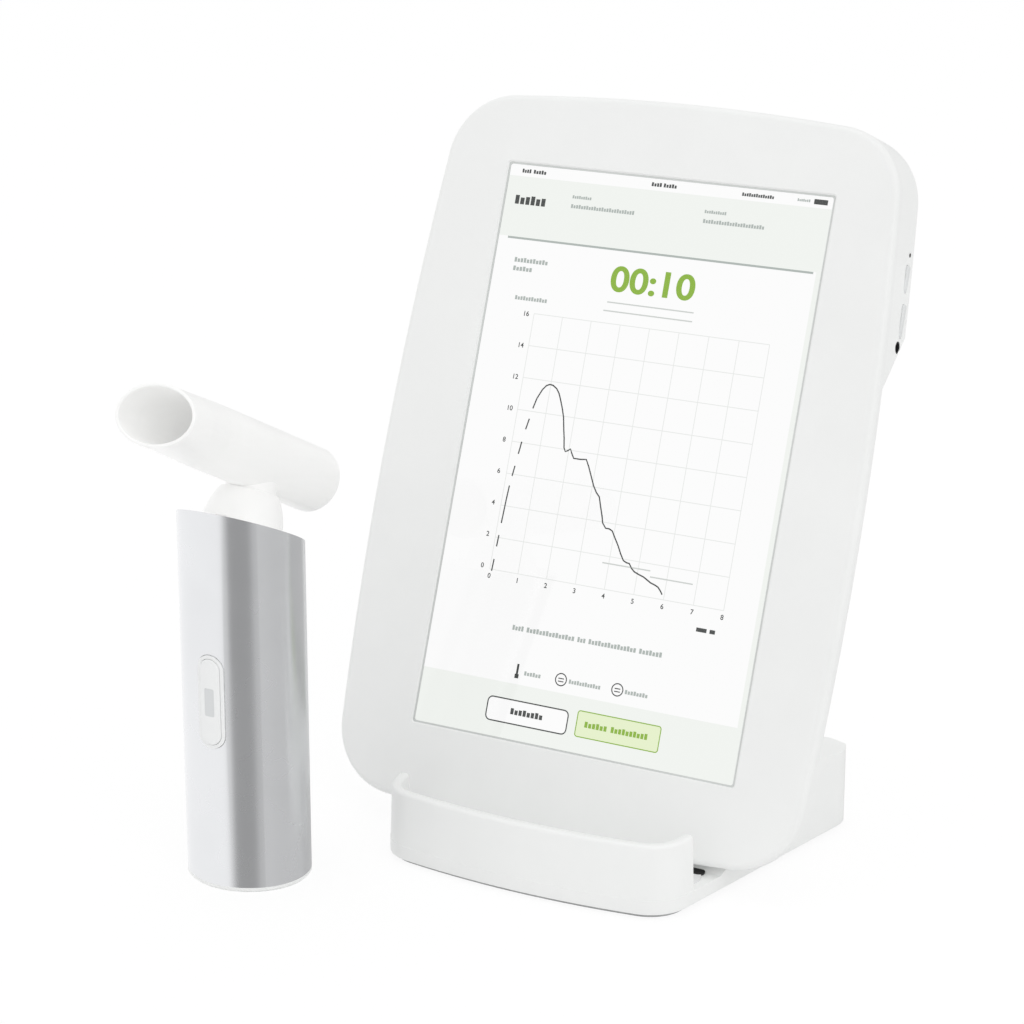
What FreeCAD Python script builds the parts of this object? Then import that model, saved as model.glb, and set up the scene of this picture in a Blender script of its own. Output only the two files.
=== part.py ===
import FreeCAD, Part
import os
from math import cos, pi, radians, sin, sqrt, tan

# Desktop spirometer: a touch tablet that leans in a charging cradle, and a
# handheld flow sensor with a breathing tube that stands beside it.
# Millimetres. The origin is on the desk, under the middle of the cradle.
# X runs to the user's right, -Y faces the user, +Z is up.

doc = FreeCAD.newDocument("desktop_spirometer")
sheet = doc.addObject("Spreadsheet::Sheet", "sizes")
used_rows = []
nodes = []


def size(alias, value):
    """Keep one driving size in the sheet under its alias."""
    used_rows.append(alias)
    row = len(used_rows)
    sheet.set(f"A{row}", alias)
    sheet.set(f"B{row}", str(value))
    sheet.setAlias(f"B{row}", alias)
    return value


def vector(x, y, z=0.0):
    return FreeCAD.Vector(x, y, z)


# Clearances shared by the whole object
running_gap = size("running_gap", 0.08)
slide_gap = size("slide_gap", 0.15)
seat_gap = size("seat_gap", 0.3)
beyond = size("beyond", 1.0)
small_corner = size("small_corner", 1.0)
piece_corner = size("piece_corner", 2.0)
large_corner = size("large_corner", 4.0)

# Tablet: borders of its face round the display, whose outer sides are bowed
lean_angle = size("lean_angle", 20.3)
side_border = size("side_border", 32.1)
lower_border = size("lower_border", 32.0)
upper_border = size("upper_border", 28.3)
side_bow_radius = size("side_bow_radius", 1500.0)
end_bow_radius = size("end_bow_radius", 900.0)
widest_drop = size("widest_drop", 26.0)
tablet_corner = size("tablet_corner", 26.5)
tablet_x = size("tablet_x", -3.2)
tablet_foot_y = size("tablet_foot_y", -32.1)
tablet_foot_height = size("tablet_foot_height", 9.5)
rim_depth = size("rim_depth", 4.6)
tablet_depth = size("tablet_depth", 20.0)
shell_wall = size("shell_wall", 2.4)
shell_land = size("shell_land", 3.5)
bevel_break = size("bevel_break", 0.8)
bevel_break_inwards = size("bevel_break_inwards", 0.78)
bevel_end_inwards = size("bevel_end_inwards", 1.08)
grip_reach = size("grip_reach", 95.0)
grip_rim = size("grip_rim", 20.5)
grip_depth = size("grip_depth", 26.0)
grip_slant = size("grip_slant", 28.0)
rim_round = size("rim_round", 2.4)

# Tablet: display stack behind the window of the front bezel
screen_width = size("screen_width", 135.4)
screen_length = size("screen_length", 216.64)
window_x = size("window_x", 1.85)
bezel_face = size("bezel_face", 1.5)
bezel_wall = size("bezel_wall", 2.6)
window_chamfer = size("window_chamfer", 0.5)
glass_border = size("glass_border", 3.3)
glass_thickness = size("glass_thickness", 1.1)
gasket_thickness = size("gasket_thickness", 0.3)
gasket_show = size("gasket_show", 0.7)
rebate_depth = size("rebate_depth", 0.9)
panel_border = size("panel_border", 2.3)
chassis_thickness = size("chassis_thickness", 1.2)
chassis_inset = size("chassis_inset", 12.0)
chassis_window_width = size("chassis_window_width", 9.0)
chassis_window_length = size("chassis_window_length", 26.0)
chassis_window_gap = size("chassis_window_gap", 10.0)
chassis_window_rise = size("chassis_window_rise", 20.0)
chassis_window_pitch = size("chassis_window_pitch", 38.0)

# Tablet: inner pieces
battery_width = size("battery_width", 118.0)
battery_length = size("battery_length", 104.0)
battery_thickness = size("battery_thickness", 4.2)
battery_low = size("battery_low", 48.0)
board_width = size("board_width", 138.0)
board_length = size("board_length", 58.0)
board_thickness = size("board_thickness", 1.2)
board_low = size("board_low", 168.0)
shield_width = size("shield_width", 28.0)
shield_length = size("shield_length", 35.0)
shield_pitch = size("shield_pitch", 44.0)
shield_height = size("shield_height", 1.8)
speaker_width = size("speaker_width", 34.0)
speaker_length = size("speaker_length", 14.0)
speaker_depth = size("speaker_depth", 5.0)
speaker_low = size("speaker_low", 26.0)
speaker_cone_radius = size("speaker_cone_radius", 4.5)
rear_screw_radius = size("rear_screw_radius", 1.3)
rear_screw_head = size("rear_screw_head", 2.5)
rear_screw_sink = size("rear_screw_sink", 1.6)
rear_boss_radius = size("rear_boss_radius", 4.0)
rear_screw_x = size("rear_screw_x", 70.0)
rear_screw_low = size("rear_screw_low", 34.0)
rear_screw_high = size("rear_screw_high", 158.0)

# Tablet: keys and socket in the right side of the grip
key_width = size("key_width", 2.6)
key_depth_place = size("key_depth_place", 15.4)
key_proud = size("key_proud", 0.6)
key_travel = size("key_travel", 0.4)
key_flange = size("key_flange", 0.8)
key_flange_rim = size("key_flange_rim", 0.6)
key_edge = size("key_edge", 0.35)
power_key_length = size("power_key_length", 10.0)
power_key_drop = size("power_key_drop", 53.6)
volume_key_length = size("volume_key_length", 12.4)
volume_key_drop = size("volume_key_drop", 69.0)
key_wall = size("key_wall", 3.2)
key_bay_depth = size("key_bay_depth", 6.4)
key_bay_margin = size("key_bay_margin", 0.8)
key_board_thickness = size("key_board_thickness", 1.0)
key_switch_gap = size("key_switch_gap", 0.2)
key_switch_length = size("key_switch_length", 4.0)
key_switch_width = size("key_switch_width", 3.0)
audio_drop = size("audio_drop", 78.7)
audio_depth_place = size("audio_depth_place", 14.3)
audio_bore_radius = size("audio_bore_radius", 1.75)
audio_wall = size("audio_wall", 0.5)
audio_length = size("audio_length", 12.0)
audio_sink = size("audio_sink", 0.2)
audio_end_wall = size("audio_end_wall", 1.5)

# Contacts between tablet and cradle
contact_place = size("contact_place", 27.0)
contact_width = size("contact_width", 44.0)
contact_length = size("contact_length", 8.0)
contact_thickness = size("contact_thickness", 1.0)
contact_count = size("contact_count", 6)
contact_pitch = size("contact_pitch", 6.4)
contact_groove = size("contact_groove", 0.8)
contact_pin_radius = size("contact_pin_radius", 0.9)
dock_depth = size("dock_depth", 6.0)
dock_proud = size("dock_proud", 0.5)

# Cradle
cradle_length = size("cradle_length", 129.0)
cradle_front_width = size("cradle_front_width", 116.4)
cradle_rear_width = size("cradle_rear_width", 161.6)
cradle_front_bow = size("cradle_front_bow", 317.0)
cradle_front_corner = size("cradle_front_corner", 16.0)
cradle_rear_corner = size("cradle_rear_corner", 14.0)
cradle_wall = size("cradle_wall", 2.5)
cradle_skirt = size("cradle_skirt", 1.8)
tray_height = size("tray_height", 7.0)
rest_clearance = size("rest_clearance", 1.3)
crest_height = size("crest_height", 41.0)
crest_length = size("crest_length", 36.0)
shoulder_height = size("shoulder_height", 27.5)
shoulder_width = size("shoulder_width", 165.6)
rear_drop = size("rear_drop", 4.0)
slope_length = size("slope_length", 14.0)
slope_drop = size("slope_drop", 6.0)
crest_width = size("crest_width", 130.0)
crest_round = size("crest_round", 8.0)
crest_front_round = size("crest_front_round", 2.5)
knee_round = size("knee_round", 5.0)
tray_round = size("tray_round", 2.0)
lip_height = size("lip_height", 27.9)
lip_lean = size("lip_lean", 0.8)
lip_thickness = size("lip_thickness", 4.0)
lip_end_y = size("lip_end_y", -41.5)
lip_round = size("lip_round", 1.4)
sole_thickness = size("sole_thickness", 1.2)
sole_inset = size("sole_inset", 2.4)
plate_thickness = size("plate_thickness", 2.0)
mat_width = size("mat_width", 120.0)
mat_inset = size("mat_inset", 1.5)
mat_thickness = size("mat_thickness", 0.6)
mat_corner = size("mat_corner", 6.0)
ballast_width = size("ballast_width", 92.0)
ballast_height = size("ballast_height", 8.0)
ballast_gap = size("ballast_gap", 2.0)
charger_gap = size("charger_gap", 1.0)
cradle_screw_x = size("cradle_screw_x", 56.0)
cradle_screw_front_y = size("cradle_screw_front_y", 4.0)
cradle_screw_rear_y = size("cradle_screw_rear_y", 50.0)
cradle_screw_radius = size("cradle_screw_radius", 1.5)
cradle_screw_head = size("cradle_screw_head", 3.0)
cradle_screw_length = size("cradle_screw_length", 12.0)
cradle_boss_radius = size("cradle_boss_radius", 4.5)
rib_thickness = size("rib_thickness", 1.6)
rib_drop = size("rib_drop", 6.0)
post_height = size("post_height", 3.0)
post_radius = size("post_radius", 2.0)
post_inset = size("post_inset", 3.5)
charger_width = size("charger_width", 72.0)
charger_length = size("charger_length", 20.0)
charger_thickness = size("charger_thickness", 1.6)
charger_part_height = size("charger_part_height", 3.0)
inlet_width = size("inlet_width", 9.0)
inlet_height = size("inlet_height", 11.0)
inlet_length = size("inlet_length", 14.0)
inlet_overhang = size("inlet_overhang", 7.0)
inlet_bore_radius = size("inlet_bore_radius", 2.8)
inlet_bore_depth = size("inlet_bore_depth", 9.0)
inlet_opening_radius = size("inlet_opening_radius", 3.8)
inlet_pin_radius = size("inlet_pin_radius", 0.9)
inlet_pin_sink = size("inlet_pin_sink", 1.0)
rest_pad_width = size("rest_pad_width", 12.0)
rest_pad_length = size("rest_pad_length", 16.0)
rest_pad_x = size("rest_pad_x", 44.0)

# Handset: oval aluminium sleeve with a slanted top
handset_x = size("handset_x", -96.2)
handset_y = size("handset_y", -91.8)
handset_width = size("handset_width", 46.6)
handset_depth = size("handset_depth", 43.0)
handset_side_radius = size("handset_side_radius", 20.3)
handset_height = size("handset_height", 132.6)
head_slope = size("head_slope", 26.5)
sleeve_wall = size("sleeve_wall", 1.8)
cap_height = size("cap_height", 1.8)
cap_spigot = size("cap_spigot", 5.2)
cap_edge = size("cap_edge", 0.7)
plug_bottom = size("plug_bottom", 108.0)
plug_wall = size("plug_wall", 2.0)
lid_recess = size("lid_recess", 0.4)
lid_thickness = size("lid_thickness", 3.0)
collar_base_radius = size("collar_base_radius", 14.8)
collar_top_radius = size("collar_top_radius", 10.6)
collar_height = size("collar_height", 12.9)
collar_place = size("collar_place", 0.6)
collar_round = size("collar_round", 1.2)
collar_bulge = size("collar_bulge", 0.9)
notch_width = size("notch_width", 5.0)
notch_depth = size("notch_depth", 1.6)

# Handset: start button
button_height = size("button_height", 72.6)
button_width = size("button_width", 11.4)
button_length = size("button_length", 35.6)
surround_width = size("surround_width", 1.3)
surround_proud = size("surround_proud", 0.4)
button_proud = size("button_proud", 1.0)
button_depth = size("button_depth", 3.0)
button_travel = size("button_travel", 0.6)
button_edge = size("button_edge", 0.4)
button_stem_radius = size("button_stem_radius", 2.0)
switch_width = size("switch_width", 6.0)
switch_depth = size("switch_depth", 3.0)
switch_plunger = size("switch_plunger", 0.7)
switch_gap = size("switch_gap", 0.1)

# Handset: inner pieces
handset_board_y = size("handset_board_y", -10.0)
handset_board_width = size("handset_board_width", 26.0)
handset_board_low = size("handset_board_low", 14.0)
handset_board_length = size("handset_board_length", 88.0)
chip_width = size("chip_width", 9.0)
chip_end = size("chip_end", 12.0)
frame_thickness = size("frame_thickness", 1.8)
frame_width = size("frame_width", 30.0)
frame_height = size("frame_height", 96.0)
frame_post_radius = size("frame_post_radius", 1.8)
frame_post_length = size("frame_post_length", 2.0)
frame_post_end = size("frame_post_end", 5.0)
frame_post_side = size("frame_post_side", 4.0)
cell_radius = size("cell_radius", 9.2)
cell_length = size("cell_length", 65.0)
cell_y = size("cell_y", 3.4)
frame_foot = size("frame_foot", 2.0)
cap_screw_x = size("cap_screw_x", 12.5)
cap_screw_y = size("cap_screw_y", 8.0)
cap_screw_radius = size("cap_screw_radius", 1.1)
cap_screw_head = size("cap_screw_head", 2.2)
cap_screw_head_height = size("cap_screw_head_height", 1.5)
cap_screw_sink = size("cap_screw_sink", 0.5)
cap_screw_length = size("cap_screw_length", 12.0)
screw_cross_length = size("screw_cross_length", 1.1)
screw_cross_width = size("screw_cross_width", 0.3)
screw_cross_depth = size("screw_cross_depth", 0.45)
cap_boss_radius = size("cap_boss_radius", 2.8)
cap_boss_height = size("cap_boss_height", 6.0)

# Breathing tube and its stem
tube_radius = size("tube_radius", 12.2)
tube_wall = size("tube_wall", 1.1)
tube_rim_round = size("tube_rim_round", 0.45)
tube_height = size("tube_height", 25.3)
tube_mouth_reach = size("tube_mouth_reach", 67.8)
tube_far_reach = size("tube_far_reach", 38.4)
mouth_half_width = size("mouth_half_width", 16.4)
mouth_half_height = size("mouth_half_height", 11.3)
mouth_straight = size("mouth_straight", 5.0)
mouth_blend = size("mouth_blend", 32.0)
tube_saddle_radius = size("tube_saddle_radius", 9.2)
stem_radius = size("stem_radius", 8.0)
socket_depth = size("socket_depth", 9.8)
port_radius = size("port_radius", 1.0)
port_spacing = size("port_spacing", 7.0)
seal_height = size("seal_height", 0.6)
seal_radius = size("seal_radius", 2.0)
nipple_radius = size("nipple_radius", 0.7)
sensor_width = size("sensor_width", 13.0)
sensor_depth = size("sensor_depth", 5.0)
screen_disc_thickness = size("screen_disc_thickness", 0.9)
screen_ledge = size("screen_ledge", 0.2)
screen_hole_radius = size("screen_hole_radius", 1.35)
screen_hole_pitch = size("screen_hole_pitch", 3.6)

doc.recompute()

# The face is as large as the display and its borders
tablet_width = screen_width + 2 * side_border
tablet_length = lower_border + screen_length + upper_border
window_middle = lower_border + screen_length / 2
power_key_place = tablet_length - power_key_drop
volume_key_place = tablet_length - volume_key_drop
audio_place = tablet_length - audio_drop
grip_low = tablet_length - grip_reach

# Frames of the pieces that don't stand upright
tablet_frame = FreeCAD.Placement(
    vector(tablet_x, tablet_foot_y, tablet_foot_height),
    FreeCAD.Rotation(vector(1, 0, 0), 90 - lean_angle))
handset_frame = FreeCAD.Placement(vector(handset_x, handset_y, 0), FreeCAD.Rotation())
head_frame = FreeCAD.Placement(
    vector(handset_x, handset_y, handset_height),
    FreeCAD.Rotation(vector(1, 0, 0), -head_slope))
cradle_frame = FreeCAD.Placement()


# Plane figures

def line(start, end):
    return Part.LineSegment(start, end)


def arc(start, middle, end):
    return Part.Arc(start, middle, end)


def rounded_polygon(points, radii):
    """Lines through the points, with a tangent arc of its radius at each."""
    count = len(points)
    starts = []
    ends = []
    corners = []
    for index in range(count):
        point = points[index]
        to_last = points[index - 1].sub(point)
        to_next = points[(index + 1) % count].sub(point)
        to_last.normalize()
        to_next.normalize()
        radius = radii[index]
        if radius <= 0:
            starts.append(point)
            ends.append(point)
            corners.append(None)
            continue
        half_angle = to_last.getAngle(to_next) / 2
        reach = radius / tan(half_angle)
        middle_way = to_last.add(to_next)
        middle_way.normalize()
        apex = radius / sin(half_angle) - radius
        starts.append(point.add(to_last * reach))
        ends.append(point.add(to_next * reach))
        corners.append(point.add(middle_way * apex))
    figure = []
    for index in range(count):
        if corners[index] is not None:
            figure.append(arc(starts[index], corners[index], ends[index]))
        following = (index + 1) % count
        if ends[index].distanceToPoint(starts[following]) > 1e-6:
            figure.append(line(ends[index], starts[following]))
    return figure


def rectangle(width, length, x=0.0, y=0.0, corner=0.0):
    points = [
        vector(x - width / 2, y - length / 2),
        vector(x + width / 2, y - length / 2),
        vector(x + width / 2, y + length / 2),
        vector(x - width / 2, y + length / 2),
    ]
    return rounded_polygon(points, [corner] * 4)


def stadium(width, length, x=0.0, y=0.0):
    """A slot with round ends, long in its second direction."""
    radius = width / 2
    straight = length / 2 - radius
    return [
        line(vector(x + radius, y - straight), vector(x + radius, y + straight)),
        arc(vector(x + radius, y + straight), vector(x, y + length / 2), vector(x - radius, y + straight)),
        line(vector(x - radius, y + straight), vector(x - radius, y - straight)),
        arc(vector(x - radius, y - straight), vector(x, y - length / 2), vector(x + radius, y - straight)),
    ]


def circle(radius, x=0.0, y=0.0):
    return [Part.Circle(vector(x, y), vector(0, 0, 1), radius)]


def mirrored(point):
    return vector(-point.x, point.y)


def handset_oval(inset=0.0):
    """The handset's plan, two flat arcs and two tight ones, moved inwards."""
    half_width = handset_width / 2
    half_depth = handset_depth / 2
    side_radius = handset_side_radius
    front_radius = (
        (half_width ** 2 + half_depth ** 2 - 2 * half_width * side_radius)
        / (2 * (half_depth - side_radius)))
    side_centre = vector(half_width - side_radius, 0)
    rear_centre = vector(0, half_depth - front_radius)
    way = side_centre.sub(rear_centre)
    way.normalize()
    joint = rear_centre.add(way * (front_radius - inset))
    side = vector(half_width - inset, 0)
    rear = vector(0, half_depth - inset)
    return [
        arc(vector(joint.x, -joint.y), side, joint),
        arc(joint, rear, mirrored(joint)),
        arc(mirrored(joint), mirrored(side), vector(-joint.x, -joint.y)),
        arc(vector(-joint.x, -joint.y), vector(0, -rear.y), vector(joint.x, -joint.y)),
    ]


def meeting_point(first_centre, first_radius, second_centre, second_radius):
    """The point right of and above both centres where two circles cross."""
    between = second_centre.sub(first_centre)
    distance = between.Length
    along = (first_radius ** 2 - second_radius ** 2 + distance ** 2) / (2 * distance)
    across = sqrt(first_radius ** 2 - along ** 2)
    unit = vector(between.x / distance, between.y / distance)
    foot = first_centre.add(unit * along)
    options = [
        foot.add(vector(-unit.y, unit.x) * across),
        foot.add(vector(unit.y, -unit.x) * across),
    ]
    return max(options, key=lambda point: point.x + point.y)


def tablet_corner_points(inset, up):
    """A right corner's arc, from the side bow to the end bow, seen from the widest place."""
    half_width = tablet_width / 2
    reach = tablet_length / 2 + (widest_drop if up else -widest_drop)
    side_centre = vector(half_width - side_bow_radius, 0)
    end_centre = vector(0, reach - end_bow_radius)
    centre = meeting_point(
        side_centre, side_bow_radius - tablet_corner,
        end_centre, end_bow_radius - tablet_corner)
    radius = tablet_corner - inset
    side_way = centre.sub(side_centre)
    side_way.normalize()
    end_way = centre.sub(end_centre)
    end_way.normalize()
    middle_way = side_way.add(end_way)
    middle_way.normalize()
    return [centre.add(way * radius) for way in (side_way, middle_way, end_way)]


def tablet_outline(inset=0.0):
    """The bowed face outline, moved inwards; its foot is at y = 0."""
    widest = tablet_length / 2 - widest_drop
    upper = [vector(point.x, widest + point.y) for point in tablet_corner_points(inset, True)]
    lower = [vector(point.x, widest - point.y) for point in tablet_corner_points(inset, False)]
    side_middle = vector(tablet_width / 2 - inset, widest)
    return [
        arc(lower[0], side_middle, upper[0]),
        arc(*upper),
        arc(upper[2], vector(0, tablet_length - inset), mirrored(upper[2])),
        arc(*[mirrored(point) for point in reversed(upper)]),
        arc(mirrored(upper[0]), mirrored(side_middle), mirrored(lower[0])),
        arc(*[mirrored(point) for point in lower]),
        arc(mirrored(lower[2]), vector(0, inset), lower[2]),
        arc(*reversed(lower)),
    ]


def cradle_side():
    """A point on the cradle's right side, its direction, and the way inwards."""
    start = vector(cradle_front_width / 2, -cradle_length / 2)
    way = vector(cradle_rear_width / 2, cradle_length / 2).sub(start)
    way.normalize()
    return start, way, vector(-way.y, way.x)


def side_point(inset, y):
    """Where the cradle's side, moved inwards, reaches a distance back."""
    start, way, inwards = cradle_side()
    shifted = start.add(inwards * inset)
    return shifted.add(way * ((y - shifted.y) / way.y))


def cradle_front(inset):
    """The bowed front and its corners, from the left side to the right."""
    front_y = -cradle_length / 2
    start, way, inwards = cradle_side()
    bow_centre = vector(0, front_y + cradle_front_bow)
    shifted = start.add(inwards * cradle_front_corner)
    from_bow = shifted.sub(bow_centre)
    along = from_bow.dot(way)
    rest = from_bow.dot(from_bow) - (cradle_front_bow - cradle_front_corner) ** 2
    centre = shifted.add(way * (-along - sqrt(along ** 2 - rest)))
    bow_way = centre.sub(bow_centre)
    bow_way.normalize()
    middle_way = bow_way.sub(inwards)
    middle_way.normalize()
    radius = cradle_front_corner - inset
    first = centre.add(bow_way * radius)
    middle = centre.add(middle_way * radius)
    last = centre.sub(inwards * radius)
    return [
        arc(mirrored(last), mirrored(middle), mirrored(first)),
        arc(mirrored(first), vector(0, front_y + inset), first),
        arc(first, middle, last),
    ]


def closed_behind(front, points, corners):
    """The front's curves, closed by the points on the right and their mirror."""
    figure = list(front)
    here = front[-1].EndPoint
    for point, corner in zip(points, corners):
        if corner is None:
            figure.append(line(here, point))
            here = point
        else:
            figure.append(line(here, corner[0]))
            figure.append(arc(*corner))
            here = corner[2]
    figure.append(line(here, mirrored(here)))
    here = mirrored(here)
    for point, corner in zip(reversed(points), reversed(corners)):
        if corner is not None:
            figure.append(arc(*[mirrored(item) for item in reversed(corner)]))
            here = mirrored(corner[0])
    figure.append(line(here, front[0].StartPoint))
    return figure


def cradle_outline(inset=0.0):
    """The cradle's plan: bowed front, straight flaring sides, straight rear."""
    way, inwards = cradle_side()[1:]
    radius = cradle_rear_corner - inset
    centre = side_point(cradle_rear_corner, cradle_length / 2 - cradle_rear_corner)
    middle_way = vector(0, 1).sub(inwards)
    middle_way.normalize()
    corner = (
        centre.sub(inwards * radius), centre.add(middle_way * radius), centre.add(vector(0, radius)))
    return closed_behind(cradle_front(inset), [centre], [corner])


def lip_outline(inset):
    """The front part of the cradle's plan, closed just behind the lip."""
    return closed_behind(cradle_front(inset), [side_point(inset, lip_end_y + lip_thickness)], [None])


# Document objects

def new_body(label, frame):
    body = doc.addObject("PartDesign::Body", label)
    body.Label = label
    body.Placement = frame
    return body


def sketch_on(body, name, figure, role="XY_Plane", lift=None):
    """A sketch on one of the body's own planes, lifted by an expression."""
    sketch = body.newObject("Sketcher::SketchObject", f"{body.Name}_{name}")
    plane = next(item for item in body.Origin.OriginFeatures if item.Role == role)
    sketch.AttachmentSupport = [(plane, "")]
    sketch.MapMode = "FlatFace"
    if lift is not None:
        sketch.setExpression(".AttachmentOffset.Base.z", lift)
    sketch.addGeometry(figure, False)
    return sketch


def pad(body, sketch, length, downwards=False):
    feature = body.newObject("PartDesign::Pad", f"{sketch.Name}_pad")
    feature.Profile = sketch
    feature.setExpression("Length", length)
    feature.Reversed = downwards
    sketch.Visibility = False
    doc.recompute()
    return feature


def pocket(body, sketch, depth=None, upwards=False):
    """Cut the sketch out of the body, through all of it if no depth is given."""
    before = body.Shape.Volume
    feature = body.newObject("PartDesign::Pocket", f"{sketch.Name}_pocket")
    feature.Profile = sketch
    if depth is None:
        feature.Type = 1
    else:
        feature.setExpression("Length", depth)
    feature.Reversed = upwards
    doc.recompute()
    if not body.Shape.Volume < before - 1e-3:
        raise RuntimeError(f"{feature.Name} cuts nothing")
    return feature


def revolve(body, sketch, role="Z_Axis"):
    feature = body.newObject("PartDesign::Revolution", f"{sketch.Name}_turn")
    feature.Profile = sketch
    axis = next(item for item in body.Origin.OriginFeatures if item.Role == role)
    feature.ReferenceAxis = (axis, [""])
    feature.Angle = 360
    doc.recompute()
    return feature


def edges_where(shape, test):
    return [f"Edge{index + 1}" for index, edge in enumerate(shape.Edges) if test(edge)]


def round_edges(body, radius, test):
    base = body.Tip
    names = edges_where(base.Shape, test)
    feature = body.newObject("PartDesign::Fillet", f"{body.Name}_round{len(body.Group)}")
    feature.Base = (base, names)
    feature.setExpression("Radius", radius)
    doc.recompute()
    return feature


def chamfer_edges(body, width, test):
    base = body.Tip
    names = edges_where(base.Shape, test)
    feature = body.newObject("PartDesign::Chamfer", f"{body.Name}_chamfer{len(body.Group)}")
    feature.Base = (base, names)
    feature.setExpression("Size", width)
    doc.recompute()
    return feature


def prism(label, figure, low, high, frame=cradle_frame):
    """A straight solid between two heights of its frame."""
    wire = Part.Wire([curve.toShape() for curve in figure])
    solid = Part.Face(wire).extrude(vector(0, 0, high - low))
    solid.translate(vector(0, 0, low))
    return piece(label, solid, frame)


def piece(label, shape, frame=cradle_frame):
    feature = doc.addObject("Part::Feature", label)
    feature.Shape = shape
    feature.Label = label
    feature.Placement = frame.multiply(shape.Placement)
    return feature


def block(label, sides, corner, frame=cradle_frame):
    """A box whose three sides are expressions, from its low corner."""
    feature = doc.addObject("Part::Box", label)
    feature.Label = label
    for name, side in zip(("Length", "Width", "Height"), sides):
        feature.setExpression(name, side)
    feature.Placement = frame.multiply(FreeCAD.Placement(corner, FreeCAD.Rotation()))
    return feature


def rod(label, radius, length, foot, way=(0, 0, 1), frame=cradle_frame):
    """A cylinder of expression sizes from its foot along its way."""
    feature = doc.addObject("Part::Cylinder", label)
    feature.Label = label
    feature.setExpression("Radius", radius)
    feature.setExpression("Height", length)
    turn = FreeCAD.Rotation(vector(0, 0, 1), vector(*way))
    feature.Placement = frame.multiply(FreeCAD.Placement(foot, turn))
    return feature


def cut(label, base, tool):
    feature = doc.addObject("Part::Cut", label)
    feature.Label = label
    feature.Base = base
    feature.Tool = tool
    doc.recompute()
    return feature


def keep(feature, node):
    """Make the feature the named node of the finished object."""
    feature.Label = node
    nodes.append(feature)
    return feature


def loft(wires, ruled=True):
    return Part.makeLoft(wires, True, ruled)


def wire_at(figure, height):
    wire = Part.Wire([curve.toShape() for curve in figure])
    wire.translate(vector(0, 0, height))
    return wire


# Tablet front bezel: a tray-shaped moulding with the display window
bezel = new_body("front_bezel_body", tablet_frame)
pad(bezel, sketch_on(bezel, "outline", tablet_outline()), "sizes.rim_depth", downwards=True)
pocket(
    bezel, sketch_on(bezel, "hollow", tablet_outline(bezel_wall), lift="-sizes.rim_depth"),
    "sizes.rim_depth - sizes.bezel_face", upwards=True)
pocket(
    bezel,
    sketch_on(
        bezel, "window",
        rectangle(screen_width, screen_length, window_x, window_middle, small_corner)))
glass_width = screen_width + 2 * glass_border
glass_length = screen_length + 2 * glass_border
glass_corner = piece_corner - slide_gap
pocket(
    bezel,
    sketch_on(
        bezel, "rebate",
        rectangle(
            glass_width + 2 * slide_gap, glass_length + 2 * slide_gap, window_x, window_middle, piece_corner),
        lift="-sizes.bezel_face"),
    "sizes.rebate_depth", upwards=True)


def on_front_face(edge):
    return abs(edge.BoundBox.ZMin) < 1e-6 and abs(edge.BoundBox.ZMax) < 1e-6


def beside_window(edge):
    middle = edge.CenterOfMass
    near_x = abs(middle.x - window_x) < screen_width / 2 + 1
    near_y = abs(middle.y - window_middle) < screen_length / 2 + 1
    return on_front_face(edge) and near_x and near_y


def on_front_rim(edge):
    return on_front_face(edge) and not beside_window(edge)


chamfer_edges(bezel, "sizes.window_chamfer", beside_window)
round_edges(bezel, "sizes.rim_round", on_front_rim)
keep(bezel, "front_bezel")

# Gasket, glass and display lie behind the window, one on the other
gasket_back = -(bezel_face - rebate_depth + gasket_thickness)
glass_back = gasket_back - glass_thickness
gasket = new_body("gasket_body", tablet_frame)
pad(
    gasket,
    sketch_on(
        gasket, "outline", rectangle(glass_width, glass_length, window_x, window_middle, glass_corner),
        lift="-(sizes.bezel_face - sizes.rebate_depth)"),
    "sizes.gasket_thickness", downwards=True)
pocket(
    gasket,
    sketch_on(
        gasket, "sight",
        rectangle(
            screen_width - 2 * gasket_show, screen_length - 2 * gasket_show, window_x, window_middle,
            small_corner)))
keep(gasket, "screen_gasket")
glass = new_body("glass_body", tablet_frame)
pad(
    glass,
    sketch_on(
        glass, "outline", rectangle(glass_width, glass_length, window_x, window_middle, glass_corner),
        lift="-(sizes.bezel_face - sizes.rebate_depth + sizes.gasket_thickness)"),
    "sizes.glass_thickness", downwards=True)
keep(glass, "screen_glass")
panel_width = screen_width + 2 * panel_border
panel_length = screen_length + 2 * panel_border
display = prism(
    "display_panel", rectangle(panel_width, panel_length, window_x, window_middle, small_corner),
    -rim_depth, glass_back, tablet_frame)
keep(display, "display_panel")

# Chassis plate: pressed sheet between the display and the electronics
chassis_back = -(rim_depth + chassis_thickness)
chassis = new_body("chassis_body", tablet_frame)
pad(
    chassis, sketch_on(chassis, "outline", tablet_outline(chassis_inset), lift="-sizes.rim_depth"),
    "sizes.chassis_thickness", downwards=True)
chassis_windows = []
for row in range(3):
    for side in (-1, 1):
        chassis_windows += stadium(
            chassis_window_width, chassis_window_length, side * (battery_width / 2 + chassis_window_gap),
            battery_low + chassis_window_rise + chassis_window_pitch * row)
pocket(chassis, sketch_on(chassis, "windows", chassis_windows))
keep(chassis, "chassis_plate")

# Battery, main board with its shields, and loudspeaker on the chassis plate
battery = new_body("battery_body", tablet_frame)
pad(
    battery,
    sketch_on(
        battery, "outline",
        rectangle(battery_width, battery_length, 0, battery_low + battery_length / 2, piece_corner),
        lift="-(sizes.rim_depth + sizes.chassis_thickness)"),
    "sizes.battery_thickness", downwards=True)
chamfer_edges(
    battery, "sizes.battery_thickness / 5",
    lambda edge: abs(edge.BoundBox.ZMax - (chassis_back - battery_thickness)) < 1e-6)
keep(battery, "battery_pack")

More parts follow.
